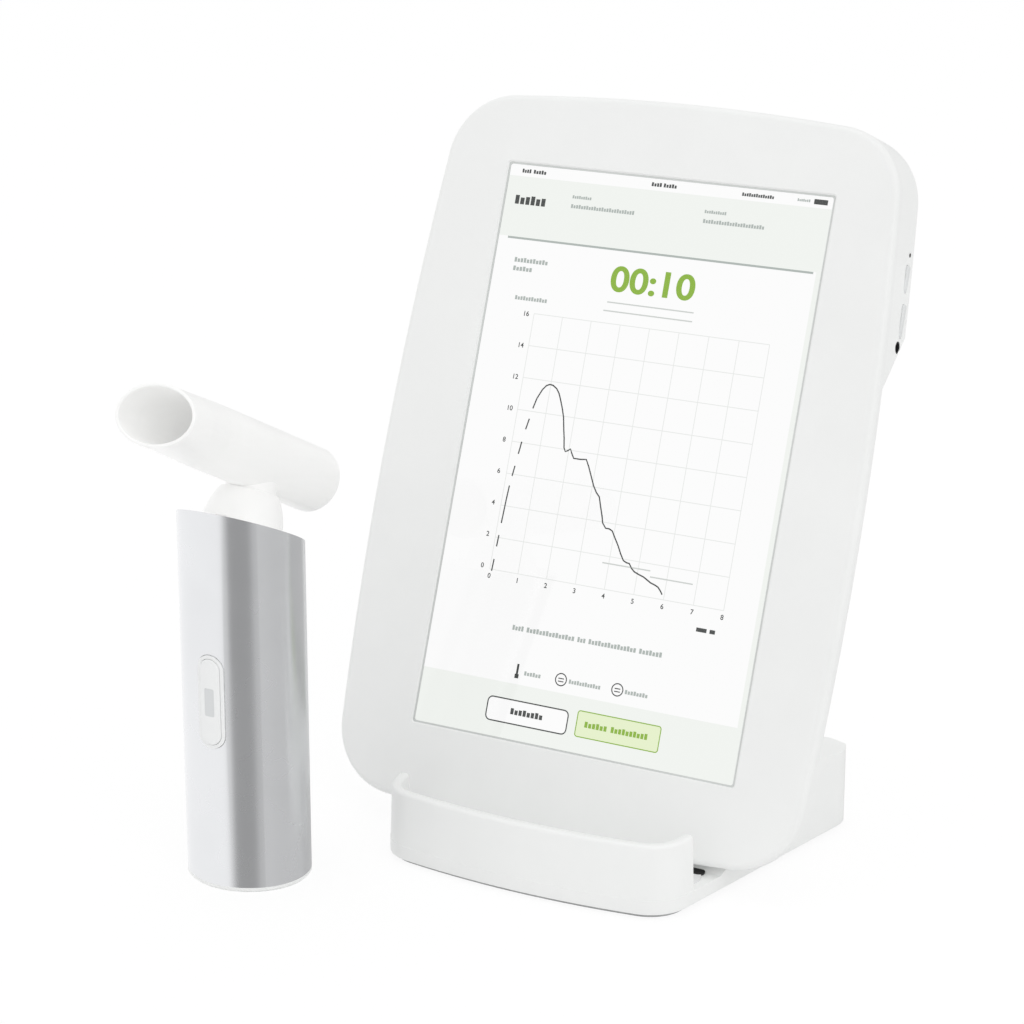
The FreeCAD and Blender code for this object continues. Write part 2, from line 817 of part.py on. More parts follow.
board = new_body("main_board_body", tablet_frame)
pad(
    board,
    sketch_on(
        board, "outline",
        rectangle(board_width, board_length, 0, board_low + board_length / 2, piece_corner),
        lift="-(sizes.rim_depth + sizes.chassis_thickness)"),
    "sizes.board_thickness", downwards=True)
shields = []
for column in (-1, 0, 1):
    shields += rectangle(
        shield_width, shield_length, column * shield_pitch, board_low + board_length / 2, small_corner)
pad(
    board,
    sketch_on(
        board, "shields", shields,
        lift="-(sizes.rim_depth + sizes.chassis_thickness + sizes.board_thickness)"),
    "sizes.shield_height", downwards=True)
keep(board, "main_board")

speaker = new_body("speaker_body", tablet_frame)
pad(
    speaker,
    sketch_on(
        speaker, "outline", rectangle(speaker_width, speaker_length, 0, speaker_low, piece_corner),
        lift="-(sizes.rim_depth + sizes.chassis_thickness)"),
    "sizes.speaker_depth", downwards=True)
pocket(
    speaker,
    sketch_on(
        speaker, "cone", circle(speaker_cone_radius, 0, speaker_low),
        lift="-(sizes.rim_depth + sizes.chassis_thickness + sizes.speaker_depth)"),
    "sizes.speaker_depth / 3", upwards=True)
keep(speaker, "loudspeaker")


# Rear shell: a bevelled pan whose upper part is thicker, as a grip

outer_bevel = [(bevel_break_inwards, bevel_break), (bevel_end_inwards, 1.0)]
inner_bevel = [(1.0, 1.0)]


def tablet_pan(rim, depth, inset, top, bevel_steps):
    """A solid with a straight rim, then bevelled at about half a right angle."""
    bevel = depth - rim
    wires = [wire_at(tablet_outline(inset), -top)]
    if rim > top:
        wires.append(wire_at(tablet_outline(inset), -rim))
    for inwards, back in bevel_steps:
        wires.append(wire_at(tablet_outline(inset + bevel * inwards), -(rim + bevel * back)))
    return loft(wires)


pan = tablet_pan(rim_depth, tablet_depth, 0.0, rim_depth, outer_bevel)
grip_pan = tablet_pan(grip_rim, grip_depth, 0.0, rim_depth, outer_bevel)
grip_half = tablet_width / 2 + beyond
grip_high = tablet_length + beyond
grip_back = vector(grip_low + grip_slant, -grip_depth)
grip_wire = Part.makePolygon([
    vector(grip_low, -rim_depth), vector(grip_high, -rim_depth), vector(grip_high, -grip_depth - beyond),
    vector(grip_back.x, -grip_depth - beyond), grip_back, vector(grip_low, -rim_depth)])
grip_band = Part.Face(grip_wire).extrude(vector(0, 0, 2 * grip_half))
grip_band.Placement = FreeCAD.Placement(FreeCAD.Matrix(
    0, 0, 1, -grip_half,
    1, 0, 0, 0,
    0, 1, 0, 0,
    0, 0, 0, 1))
cavity = tablet_pan(rim_depth, tablet_depth - shell_wall, shell_land, rim_depth, inner_bevel)
shell_solid = pan.fuse(grip_pan.common(grip_band)).cut(cavity)
boss_places = [
    (side * rear_screw_x, height)
    for side in (-1, 1)
    for height in (rear_screw_low, rear_screw_high)]
boss_foot = -(tablet_depth - shell_wall / 2)
for boss_x, boss_v in boss_places:
    boss = Part.makeCylinder(rear_boss_radius, chassis_back - boss_foot, vector(boss_x, boss_v, boss_foot))
    shell_solid = shell_solid.fuse(boss)
for boss_x, boss_v in boss_places:
    hole = Part.makeCylinder(
        rear_screw_radius + running_gap, tablet_depth + 2 * beyond,
        vector(boss_x, boss_v, -tablet_depth - beyond))
    sink = Part.makeCylinder(
        rear_screw_head + slide_gap, rear_screw_sink + beyond,
        vector(boss_x, boss_v, -tablet_depth - beyond))
    shell_solid = shell_solid.cut(hole).cut(sink)


def side_x(height):
    """Half the tablet's width at a height above its foot."""
    rise = height - (tablet_length / 2 - widest_drop)
    return tablet_width / 2 - side_bow_radius + sqrt(side_bow_radius ** 2 - rise ** 2)


# The side keys sit in slots that open into a bay behind the grip's wall
key_wall_x = side_x(power_key_place) - key_wall
key_bay_low = volume_key_place - volume_key_length / 2 - key_bay_margin
key_bay_high = power_key_place + power_key_length / 2 + key_bay_margin
key_bay_back = key_depth_place + key_width / 2 + key_bay_margin
bay = Part.makeBox(
    key_bay_depth, key_bay_high - key_bay_low, key_bay_back - rim_depth,
    vector(key_wall_x - key_bay_depth, key_bay_low, -key_bay_back))
shell_solid = shell_solid.cut(bay)
keys = [("power_key", power_key_place, power_key_length), ("volume_key", volume_key_place, volume_key_length)]


def key_prism(width, length, place, start_x, end_x):
    """A slot-shaped prism that runs out to the tablet's side."""
    wire = Part.Wire([curve.toShape() for curve in stadium(width, length)])
    solid = Part.Face(wire).extrude(vector(0, 0, end_x - start_x))
    solid.Placement = FreeCAD.Placement(FreeCAD.Matrix(
        0, 0, 1, start_x,
        0, 1, 0, place,
        -1, 0, 0, -key_depth_place,
        0, 0, 0, 1))
    return solid


for node, place, length in keys:
    outside = side_x(place)
    slot = key_prism(
        key_width + 2 * slide_gap, length + 2 * slide_gap, place, key_wall_x - beyond, outside + beyond)
    shell_solid = shell_solid.cut(slot)
audio_outer = audio_bore_radius + audio_wall
audio_end = side_x(audio_place) - audio_sink
audio_start = audio_end - audio_length
audio_hole = Part.makeCylinder(
    audio_outer + running_gap, audio_length + 2 * beyond,
    vector(audio_start - slide_gap, audio_place, -audio_depth_place), vector(1, 0, 0))
shell_solid = shell_solid.cut(audio_hole)
contact_seat = Part.makeBox(
    contact_width + 2 * slide_gap, contact_length + 2 * slide_gap, contact_thickness + beyond,
    vector(
        -contact_width / 2 - slide_gap, contact_place - contact_length / 2 - slide_gap,
        -tablet_depth - beyond))
shell_solid = shell_solid.cut(contact_seat)
keep(piece("rear_shell_form", shell_solid, tablet_frame), "rear_shell")

for node, place, length in keys:
    outside = side_x(place)
    stem = key_prism(key_width, length, place, key_wall_x - key_flange, outside + key_proud)
    flange = key_prism(
        key_width + 2 * key_flange_rim, length + 2 * key_flange_rim, place,
        key_wall_x - key_flange, key_wall_x)
    cap = stem.fuse(flange).removeSplitter()
    outer_edges = [edge for edge in cap.Edges if edge.BoundBox.XMin > outside + key_proud - 1e-6]
    keep(piece(f"{node}_form", cap.makeChamfer(key_edge, outer_edges), tablet_frame), node)

# Switch board behind the keys, with one switch for each
key_board_x = key_wall_x - key_bay_depth
switch_reach = key_bay_depth - key_board_thickness - key_flange - key_travel - key_switch_gap
key_board = Part.makeBox(
    key_board_thickness, key_bay_high - key_bay_low - 2 * slide_gap, key_bay_back - rim_depth - seat_gap,
    vector(key_board_x, key_bay_low + slide_gap, -key_bay_back))
for node, place, length in keys:
    switch = Part.makeBox(
        switch_reach, key_switch_length, key_switch_width,
        vector(
            key_board_x + key_board_thickness, place - key_switch_length / 2,
            -key_depth_place - key_switch_width / 2))
    key_board = key_board.fuse(switch)
keep(piece("side_key_board_form", key_board.removeSplitter(), tablet_frame), "side_key_board")

audio_barrel = Part.makeCylinder(
    audio_outer, audio_length, vector(audio_start, audio_place, -audio_depth_place), vector(1, 0, 0))
audio_bore = Part.makeCylinder(
    audio_bore_radius, audio_length - audio_end_wall,
    vector(audio_start + audio_end_wall, audio_place, -audio_depth_place), vector(1, 0, 0))
keep(piece("audio_socket_form", audio_barrel.cut(audio_bore), tablet_frame), "audio_socket")

# Contact strip in the tablet's back: bars separated by narrow grooves
strip = Part.makeBox(
    contact_width, contact_length, contact_thickness,
    vector(-contact_width / 2, contact_place - contact_length / 2, -tablet_depth))
for index in range(int(contact_count) - 1):
    groove_x = (index + 1 - contact_count / 2) * contact_pitch
    groove = Part.makeBox(
        contact_groove, contact_length, contact_thickness / 2,
        vector(groove_x - contact_groove / 2, contact_place - contact_length / 2, -tablet_depth))
    strip = strip.cut(groove)
keep(piece("contact_strip_form", strip, tablet_frame), "contact_strip")


def screw_solid(radius, head_radius, head_height, length, foot):
    """A screw with its head at the foot and a cross recess in it."""
    head = Part.makeCylinder(head_radius, head_height, foot)
    shank = Part.makeCylinder(radius, length, foot)
    solid = head.fuse(shank).removeSplitter()
    cross = (head_radius * screw_cross_length, head_radius * screw_cross_width)
    for wide, deep in (cross, reversed(cross)):
        slot = Part.makeBox(
            wide, deep, head_height * screw_cross_depth,
            vector(foot.x - wide / 2, foot.y - deep / 2, foot.z))
        solid = solid.cut(slot)
    return solid


rear_screws = []
for boss_x, boss_v in boss_places:
    foot = vector(boss_x, boss_v, -tablet_depth + seat_gap)
    screw_length = chassis_back - foot.z
    rear_screws.append(
        screw_solid(rear_screw_radius, rear_screw_head, rear_screw_sink - seat_gap, screw_length, foot))
keep(piece("rear_screws_form", Part.makeCompound(rear_screws), tablet_frame), "rear_screws")


# Cradle: plan, side and front outlines are pushed through one another

def in_cradle(height, depth):
    """A tablet point, by its height and depth in the tablet, as y and z."""
    point = tablet_frame.multVec(vector(0, height, depth))
    return point.y, point.z


def tray_edge():
    """Where the tray's floor meets the clearance under the tablet's bevel."""
    step = rest_clearance * sqrt(2)
    low_y, low_z = in_cradle(-step, -rim_depth)
    high_y, high_z = in_cradle(rim_depth - step, -2 * rim_depth)
    share = (tray_height - low_z) / (high_z - low_z)
    return low_y + (high_y - low_y) * share


def rest_y(height):
    """How far back the back-rest's face is at a height."""
    foot_y, foot_z = in_cradle(0, rest_depth)
    return foot_y + (height - foot_z) * tan(radians(lean_angle))


rest_depth = -(tablet_depth + rest_clearance)
knee_y, knee_z = in_cradle(tablet_depth - rim_depth + rest_clearance * (1 - sqrt(2)), rest_depth)
crest_v = (crest_height - in_cradle(0, rest_depth)[1]) / cos(radians(lean_angle))
crest_front_y = in_cradle(crest_v, rest_depth)[0]
rear_y = cradle_length / 2
form_low = -crest_height / 2
form_rear = rear_y + large_corner
slope_y = crest_front_y + crest_length
side_points = [
    vector(-form_rear, form_low), vector(form_rear, form_low),
    vector(form_rear, shoulder_height - rear_drop),
    vector(slope_y + slope_length, crest_height - slope_drop),
    vector(slope_y, crest_height), vector(crest_front_y, crest_height),
    vector(knee_y, knee_z), vector(tray_edge(), tray_height),
    vector(-form_rear, tray_height),
]
side_radii = [0, 0, 0, crest_round, crest_round * 2, crest_front_round, knee_round, tray_round, 0]
half_rear = shoulder_width / 2
front_points = [
    vector(-half_rear, form_low), vector(half_rear, form_low),
    vector(half_rear, shoulder_height), vector(crest_width / 2, crest_height),
    vector(-crest_width / 2, crest_height), vector(-half_rear, shoulder_height),
]
front_radii = [0, 0, 0, crest_round, crest_round, 0]
along_x = FreeCAD.Matrix(0, 0, 1, 0, 1, 0, 0, 0, 0, 1, 0, 0, 0, 0, 0, 1)
along_y = FreeCAD.Matrix(1, 0, 0, 0, 0, 0, -1, 0, 0, 1, 0, 0, 0, 0, 0, 1)


def pushed(points, radii, offset, matrix, reach):
    """The outline, moved inwards, pushed both ways out of its plane."""
    wire = Part.Wire([curve.toShape() for curve in rounded_polygon(points, radii)])
    if offset:
        wire = wire.makeOffset2D(-offset)
    solid = Part.Face(wire).extrude(vector(0, 0, 2 * reach))
    solid.translate(vector(0, 0, -reach))
    solid.Placement = FreeCAD.Placement(matrix).multiply(solid.Placement)
    return solid


def cradle_form(offset, low):
    """The cradle's body; a form set inwards for a hollow has sharp corners."""
    plan = Part.Face(wire_at(cradle_outline(offset), low)).extrude(vector(0, 0, crest_height * 2))
    softness = 0 if offset else 1
    side = pushed(side_points, [radius * softness for radius in side_radii], offset, along_x, cradle_rear_width)
    front = pushed(front_points, [radius * softness for radius in front_radii], offset, along_y, cradle_length)
    return plan.common(side).common(front)


cradle_solid = cradle_form(0.0, cradle_skirt)

# Front lip: the plan outline drawn in towards its top, hollowed, and cut off
lip_wires = [wire_at(lip_outline(0), cradle_skirt), wire_at(lip_outline(lip_lean), lip_height)]
lip_inner = [
    wire_at(lip_outline(lip_thickness), cradle_skirt),
    wire_at(lip_outline(lip_lean + lip_thickness), lip_height)]
lip_ring = loft(lip_wires).cut(loft(lip_inner))
lip_box = Part.makeBox(
    cradle_rear_width, cradle_length, lip_height * 2,
    vector(-cradle_rear_width / 2, lip_end_y - cradle_length, 0))
lip = lip_ring.common(lip_box)
lip_top_edges = [edge for edge in lip.Edges if edge.BoundBox.ZMin > lip_height - 0.01]
lip_top_edges += [
    edge for edge in lip.Edges
    if edge.BoundBox.YMin > lip_end_y - 0.01 and edge.BoundBox.ZMax > lip_height - 0.1
    and edge not in lip_top_edges]
lip = lip.makeFillet(lip_round, lip_top_edges)
cradle_solid = cradle_solid.fuse(lip).removeSplitter()
cradle_cavity = cradle_form(cradle_wall, -beyond)
cradle_solid = cradle_solid.cut(cradle_cavity)

# Stiffening ribs under the crest, and bosses for the base screws
plate_top = sole_thickness + plate_thickness
rib_solids = []
for rib_x in (-crest_width / 4, crest_width / 4):
    rib_solids.append(
        Part.makeBox(
            rib_thickness, cradle_length, rib_drop,
            vector(rib_x - rib_thickness / 2, -cradle_length / 2, crest_height - cradle_wall - rib_drop)))
ribs = rib_solids[0].fuse(rib_solids[1]).common(cradle_form(cradle_wall / 2, 0.0))
cradle_solid = cradle_solid.fuse(ribs)
cradle_screw_places = [
    (side * cradle_screw_x, place_y)
    for side in (-1, 1)
    for place_y in (cradle_screw_front_y, cradle_screw_rear_y)]
boss_form = cradle_form(cradle_wall / 2, 0.0)
for place_x, place_y in cradle_screw_places:
    boss = Part.makeCylinder(cradle_boss_radius, crest_height, vector(place_x, place_y, plate_top))
    cradle_solid = cradle_solid.fuse(boss.common(boss_form))
for place_x, place_y in cradle_screw_places:
    hole = Part.makeCylinder(
        cradle_screw_radius + running_gap, cradle_screw_length + beyond,
        vector(place_x, place_y, plate_top - beyond))
    cradle_solid = cradle_solid.cut(hole)

# Openings of the shell for the dock connector and the power inlet
dock_seat = Part.makeBox(
    contact_width + 2 * slide_gap, contact_length + 2 * slide_gap, dock_depth + 2 * beyond,
    vector(
        -contact_width / 2 - slide_gap, contact_place - contact_length / 2 - slide_gap,
        rest_depth - dock_depth))
dock_seat.Placement = tablet_frame.multiply(dock_seat.Placement)
cradle_solid = cradle_solid.cut(dock_seat)
inlet_z = plate_top + post_height + charger_thickness + inlet_height / 2
inlet_opening = Part.makeCylinder(
    inlet_opening_radius, cradle_wall * 4, vector(0, rear_y - cradle_wall * 2, inlet_z), vector(0, 1, 0))
cradle_solid = cradle_solid.cut(inlet_opening)
keep(piece("cradle_shell_form", cradle_solid.removeSplitter()), "cradle_shell")

# Rubber sole, base plate, steel ballast and screws
sole = new_body("sole_body", cradle_frame)
pad(sole, sketch_on(sole, "outline", cradle_outline(sole_inset)), "sizes.sole_thickness")
keep(sole, "desk_sole")

plate = new_body("base_plate_body", cradle_frame)
pad(
    plate, sketch_on(plate, "outline", cradle_outline(cradle_wall + seat_gap), lift="sizes.sole_thickness"),
    "sizes.plate_thickness")
charger_y = rear_y - cradle_wall - inlet_overhang - charger_length / 2
post_x = charger_width / 2 - post_inset
post_y = charger_length / 2 - post_inset
posts = []
for side in (-1, 1):
    for end in (-1, 1):
        posts += circle(post_radius, side * post_x, charger_y + end * post_y)
pad(
    plate, sketch_on(plate, "posts", posts, lift="sizes.sole_thickness + sizes.plate_thickness"),
    "sizes.post_height")
screw_holes = []
screw_sinks = []
for place_x, place_y in cradle_screw_places:
    screw_holes += circle(cradle_screw_radius + running_gap, place_x, place_y)
    screw_sinks += circle(cradle_screw_head + slide_gap, place_x, place_y)
pocket(
    plate, sketch_on(plate, "holes", screw_holes, lift="sizes.sole_thickness + sizes.plate_thickness"),
    "sizes.plate_thickness")
pocket(
    plate, sketch_on(plate, "sinks", screw_sinks, lift="sizes.sole_thickness"),
    "sizes.plate_thickness / 2", upwards=True)
keep(plate, "base_plate")

ballast_front = rest_y(plate_top + ballast_height) + cradle_wall / cos(radians(lean_angle)) + ballast_gap
ballast_rear = charger_y - charger_length / 2 - charger_gap
ballast = new_body("ballast_body", cradle_frame)
pad(
    ballast,
    sketch_on(
        ballast, "outline",
        rectangle(
            ballast_width, ballast_rear - ballast_front, 0, (ballast_rear + ballast_front) / 2, large_corner),
        lift="sizes.sole_thickness + sizes.plate_thickness"),
    "sizes.ballast_height")
keep(ballast, "ballast_plate")

base_screws = [
    screw_solid(
        cradle_screw_radius, cradle_screw_head, plate_thickness / 2, cradle_screw_length,
        vector(place_x, place_y, sole_thickness))
    for place_x, place_y in cradle_screw_places]
keep(piece("base_screws_form", Part.makeCompound(base_screws)), "base_screws")

# Black rubber mat in the tray; the tablet's lower rim stands on it
mat = new_body("trough_mat_body", cradle_frame)
mat_front_y = lip_end_y + seat_gap
mat_rear_y = tray_edge() - mat_inset
pad(
    mat,
    sketch_on(
        mat, "outline",
        rectangle(mat_width, mat_rear_y - mat_front_y, 0, (mat_rear_y + mat_front_y) / 2, mat_corner),
        lift="sizes.tray_height"),
    "sizes.mat_thickness")
keep(mat, "trough_mat")

# Two rubber pads on the back-rest
pad_parts = []
for side in (-1, 1):
    pad_wire = Part.Wire([
        curve.toShape() for curve in rectangle(
            rest_pad_width, rest_pad_length, side * rest_pad_x, contact_place, piece_corner)])
    pad_solid = Part.Face(pad_wire).extrude(vector(0, 0, rest_clearance - seat_gap))
    pad_solid.translate(vector(0, 0, rest_depth))
    pad_parts.append(pad_solid)
keep(piece("rest_pads_form", Part.makeCompound(pad_parts), tablet_frame), "rest_pads")

# Dock connector with sprung contact pins
dock = Part.makeBox(
    contact_width, contact_length, dock_depth + dock_proud,
    vector(-contact_width / 2, contact_place - contact_length / 2, rest_depth - dock_depth))
pin_holes = []
pin_solids = []
pin_top = -tablet_depth
for index in range(int(contact_count)):
    pin_x = (index - (contact_count - 1) / 2) * contact_pitch
    pin_holes.append(
        Part.makeCylinder(
            contact_pin_radius, dock_depth / 2 + 2 * beyond,
            vector(pin_x, contact_place, rest_depth - dock_depth / 2)))
    pin_solids.append(
        Part.makeCylinder(
            contact_pin_radius, dock_depth / 2 + pin_top - rest_depth - running_gap,
            vector(pin_x, contact_place, rest_depth - dock_depth / 2)))
for hole in pin_holes:
    dock = dock.cut(hole)
keep(piece("dock_connector_form", dock, tablet_frame), "dock_connector")
keep(piece("dock_pins_form", Part.makeCompound(pin_solids), tablet_frame), "dock_pins")

# Charger board on the posts of the base plate, with the power inlet on it
board_z = plate_top + post_height
charger = Part.makeBox(
    charger_width, charger_length, charger_thickness,
    vector(-charger_width / 2, charger_y - charger_length / 2, board_z))
for part_x in (-charger_width / 3, charger_width / 3):
    charger = charger.fuse(
        Part.makeBox(
            charger_width / 8, charger_length / 2, charger_part_height,
            vector(part_x - charger_width / 16, charger_y - charger_length / 4, board_z + charger_thickness)))
keep(piece("charger_board_form", charger.removeSplitter()), "charger_board")

inlet_front_y = rear_y - cradle_wall
inlet = Part.makeBox(
    inlet_width, inlet_length, inlet_height,
    vector(-inlet_width / 2, inlet_front_y - inlet_length, board_z + charger_thickness))
inlet_bore = Part.makeCylinder(
    inlet_bore_radius, inlet_bore_depth, vector(0, inlet_front_y - inlet_bore_depth, inlet_z), vector(0, 1, 0))
inlet_pin = Part.makeCylinder(
    inlet_pin_radius, inlet_bore_depth - inlet_pin_sink,
    vector(0, inlet_front_y - inlet_bore_depth, inlet_z),
    vector(0, 1, 0))
inlet = inlet.cut(inlet_bore).fuse(inlet_pin)
keep(piece("power_inlet_form", inlet), "power_inlet")

# Handset sleeve: an oval extrusion, cut off at a slant, with the button slot
outer_x = handset_width / 2
outer_y = handset_depth / 2
sleeve = new_body("sleeve_body", handset_frame)
pad(
    sleeve, sketch_on(sleeve, "outline", handset_oval(), lift="sizes.cap_height"),
    "sizes.handset_height * 1.3")
pocket(
    sleeve, sketch_on(sleeve, "bore", handset_oval(sleeve_wall), lift="sizes.cap_height"),
    "sizes.handset_height * 1.4", upwards=True)
pocket(
    sleeve, sketch_on(sleeve, "slot", stadium(button_width, button_length, 0, button_height), "XZ_Plane"),
    "sizes.handset_depth", upwards=True)
head_reach = handset_depth * 2
slant_box = block(
    "slant_box", ("sizes.handset_depth * 4", "sizes.handset_depth * 4", "sizes.handset_height"),
    vector(-head_reach, -head_reach, 0), head_frame)
keep(cut("handset_sleeve_form", sleeve, slant_box), "handset_sleeve")

# Bottom cap: a white foot with a spigot inside the sleeve
cap = new_body("bottom_cap_body", handset_frame)
pad(cap, sketch_on(cap, "foot", handset_oval()), "sizes.cap_height")
pad(
    cap, sketch_on(cap, "spigot", handset_oval(sleeve_wall + slide_gap), lift="sizes.cap_height"),
    "sizes.cap_spigot")
cap_screw_figure = []
cap_sink_figure = []
for side in (-1, 1):
    cap_screw_figure += circle(cap_screw_radius + running_gap, side * cap_screw_x, cap_screw_y)
    cap_sink_figure += circle(cap_screw_head + slide_gap, side * cap_screw_x, cap_screw_y)
pocket(
    cap, sketch_on(cap, "holes", cap_screw_figure, lift="sizes.cap_height + sizes.cap_spigot"),
    "sizes.cap_height + sizes.cap_spigot")
pocket(
    cap, sketch_on(cap, "sinks", cap_sink_figure), "sizes.cap_screw_sink + sizes.cap_screw_head_height",
    upwards=True)


def on_cap_edge(edge):
    return on_front_face(edge) and edge.BoundBox.XLength > outer_x


chamfer_edges(cap, "sizes.cap_edge", on_cap_edge)
keep(cap, "bottom_cap")

# Inner frame: carries the board in front and the battery cell behind
spigot_top = cap_height + cap_spigot
frame_y = handset_board_y + frame_post_length
frame = new_body("inner_frame_body", handset_frame)
pad(
    frame,
    sketch_on(
        frame, "foot",
        rounded_polygon(
            [
                vector(-frame_width / 2, frame_y), vector(frame_width / 2, frame_y),
                vector(frame_width / 2, cap_screw_y + large_corner),
                vector(-frame_width / 2, cap_screw_y + large_corner),
            ], [0, 0, large_corner, large_corner]),
        lift="sizes.cap_height + sizes.cap_spigot"),
    "sizes.frame_foot")
pad(
    frame,
    sketch_on(
        frame, "plate", rectangle(frame_width, frame_thickness, 0, frame_y + frame_thickness / 2),
        lift="sizes.cap_height + sizes.cap_spigot"),
    "sizes.frame_height")
pad(
    frame,
    sketch_on(
        frame, "roof",
        rounded_polygon(
            [
                vector(-frame_width / 3, frame_y), vector(frame_width / 3, frame_y),
                vector(frame_width / 3, cell_y + cell_radius * 0.8),
                vector(-frame_width / 3, cell_y + cell_radius * 0.8),
            ], [0, 0, large_corner, large_corner]),
        lift="sizes.cap_height + sizes.cap_spigot + sizes.frame_foot + sizes.cell_length"),
    "sizes.frame_foot")
frame_bosses = []
for side in (-1, 1):
    frame_bosses += circle(cap_boss_radius, side * cap_screw_x, cap_screw_y)
pad(
    frame,
    sketch_on(
        frame, "bosses", frame_bosses,
        lift="sizes.cap_height + sizes.cap_spigot + sizes.frame_foot"),
    "sizes.cap_boss_height")
pocket(
    frame,
    sketch_on(
        frame, "screw_holes", cap_screw_figure,
        lift="sizes.cap_height + sizes.cap_spigot + sizes.frame_foot + sizes.cap_boss_height"),
    "sizes.frame_foot + sizes.cap_boss_height")
frame_posts = []
post_low = handset_board_low + frame_post_end
post_high = handset_board_low + handset_board_length - frame_post_end
for side in (-1, 1):
    for post_z in (post_low, post_high):
        frame_posts += circle(
            frame_post_radius, side * (handset_board_width / 2 - frame_post_side), post_z)
post_sketch = sketch_on(frame, "posts", frame_posts, "XZ_Plane", lift=f"-({frame_y})")
pad(frame, post_sketch, "sizes.frame_post_length")
keep(frame, "inner_frame")

cell = rod(
    "cell_rod", "sizes.cell_radius", "sizes.cell_length",
    vector(0, cell_y, spigot_top + frame_foot), frame=handset_frame)
keep(cell, "handset_battery")

# Handset board with its processor, and the start switch in front of it
board_back = handset_board_y
board_face = board_back - board_thickness
hand_board = new_body("handset_board_body", handset_frame)
pad(
    hand_board,
    sketch_on(
        hand_board, "outline",
        rectangle(
            handset_board_width, handset_board_length, 0,
            handset_board_low + handset_board_length / 2, piece_corner),
        "XZ_Plane", lift="-sizes.handset_board_y"),
    "sizes.board_thickness")
pad(
    hand_board,
    sketch_on(
        hand_board, "chips",
        rectangle(chip_width, chip_width, 0, handset_board_low + chip_end)
        + rectangle(chip_width, chip_width, 0, handset_board_low + handset_board_length - chip_end),
        "XZ_Plane", lift="-sizes.handset_board_y + sizes.board_thickness"),
    "sizes.board_thickness")
keep(hand_board, "handset_board")

switch = new_body("button_switch_body", handset_frame)
pad(
    switch,
    sketch_on(
        switch, "case", rectangle(switch_width, switch_width, 0, button_height, small_corner),
        "XZ_Plane", lift="-sizes.handset_board_y + sizes.board_thickness"),
    "sizes.switch_depth")
pad(
    switch,
    sketch_on(
        switch, "plunger", circle(button_stem_radius, 0, button_height),
        "XZ_Plane", lift="-sizes.handset_board_y + sizes.board_thickness + sizes.switch_depth"),
    "sizes.switch_plunger")
keep(switch, "button_switch")


# Start button and its surround follow the sleeve's curve

def oval_prism(grown, low, high):
    wire = Part.Wire([curve.toShape() for curve in handset_oval(-grown)])
    solid = Part.Face(wire).extrude(vector(0, 0, high - low))
    solid.translate(vector(0, 0, low))
    return solid


def slot_prism(width, length):
    """A slot-shaped prism through the front half of the sleeve."""
    wire = Part.Wire([curve.toShape() for curve in stadium(width, length)])
    solid = Part.Face(wire).extrude(vector(0, 0, handset_depth))
    solid.Placement = FreeCAD.Placement(FreeCAD.Matrix(
        1, 0, 0, 0,
        0, 0, -1, 0,
        0, 1, 0, button_height,
        0, 0, 0, 1))
    return solid


button_low = button_height - button_length
button_high = button_height + button_length
surround_outer = slot_prism(button_width - 2 * slide_gap, button_length - 2 * slide_gap)
cap_width = button_width - 2 * slide_gap - 2 * surround_width
cap_length = button_length - 2 * slide_gap - 2 * surround_width
surround_layer = oval_prism(surround_proud, button_low, button_high).cut(
    oval_prism(-button_depth, button_low, button_high))
surround = surround_outer.cut(slot_prism(cap_width, cap_length)).common(surround_layer)
keep(piece("button_surround_form", surround, handset_frame), "button_surround")
cap_layer = oval_prism(button_proud, button_low, button_high).cut(
    oval_prism(-button_depth, button_low, button_high))
button = slot_prism(cap_width - 2 * slide_gap, cap_length - 2 * slide_gap).common(cap_layer)
button_front = [edge for edge in button.Edges if edge.BoundBox.YMax < -outer_y]
button = button.makeChamfer(button_edge, button_front)
stem_end = board_face - switch_depth - switch_plunger - button_travel - switch_gap
stem_start = -(outer_y - button_depth) - button_edge
button_stem = Part.makeCylinder(
    button_stem_radius, stem_end - stem_start, vector(0, stem_start, button_height), vector(0, 1, 0))
keep(piece("start_button_form", button.fuse(button_stem), handset_frame), "start_button")

cap_screws = [
    screw_solid(
        cap_screw_radius, cap_screw_head, cap_screw_head_height, cap_screw_length,
        vector(side * cap_screw_x, cap_screw_y, cap_screw_sink))
    for side in (-1, 1)]
keep(piece("cap_screws_form", Part.makeCompound(cap_screws), handset_frame), "cap_screws")

# Sensor head: slanted lid and skirt in the sleeve, conical collar, socket
to_head = head_frame.inverse().multiply(handset_frame)


def in_head(solid):
    solid.Placement = to_head.multiply(solid.Placement)
    return solid


def below(depth):
    """All that lies below a slanted plane of the head."""
    return Part.makeBox(
        2 * head_reach, 2 * head_reach, 2 * head_reach,
        vector(-head_reach, -head_reach, -depth - 2 * head_reach))


plug_inset = sleeve_wall + slide_gap
plug = in_head(oval_prism(-plug_inset, plug_bottom, handset_height * 1.3)).common(below(lid_recess))
plug_hollow = in_head(oval_prism(-plug_inset - plug_wall, plug_bottom - beyond, handset_height * 1.3))
plug = plug.cut(plug_hollow.common(below(lid_recess + lid_thickness)))
collar_points = [
    vector(0, -lid_recess - lid_thickness / 2), vector(collar_base_radius, -lid_recess - lid_thickness / 2),
    vector(collar_base_radius, 0), vector(collar_top_radius, collar_height), vector(0, collar_height),
]
collar_middle = vector(
    (collar_base_radius + collar_top_radius) / 2 + collar_bulge, collar_height / 2)
collar_curves = [
    line(collar_points[0], collar_points[1]), line(collar_points[1], collar_points[2]),
    arc(collar_points[2], collar_middle, collar_points[3]),
    line(collar_points[3], collar_points[4]), line(collar_points[4], collar_points[0]),
]
collar_face = Part.Face(Part.Wire([curve.toShape() for curve in collar_curves]))
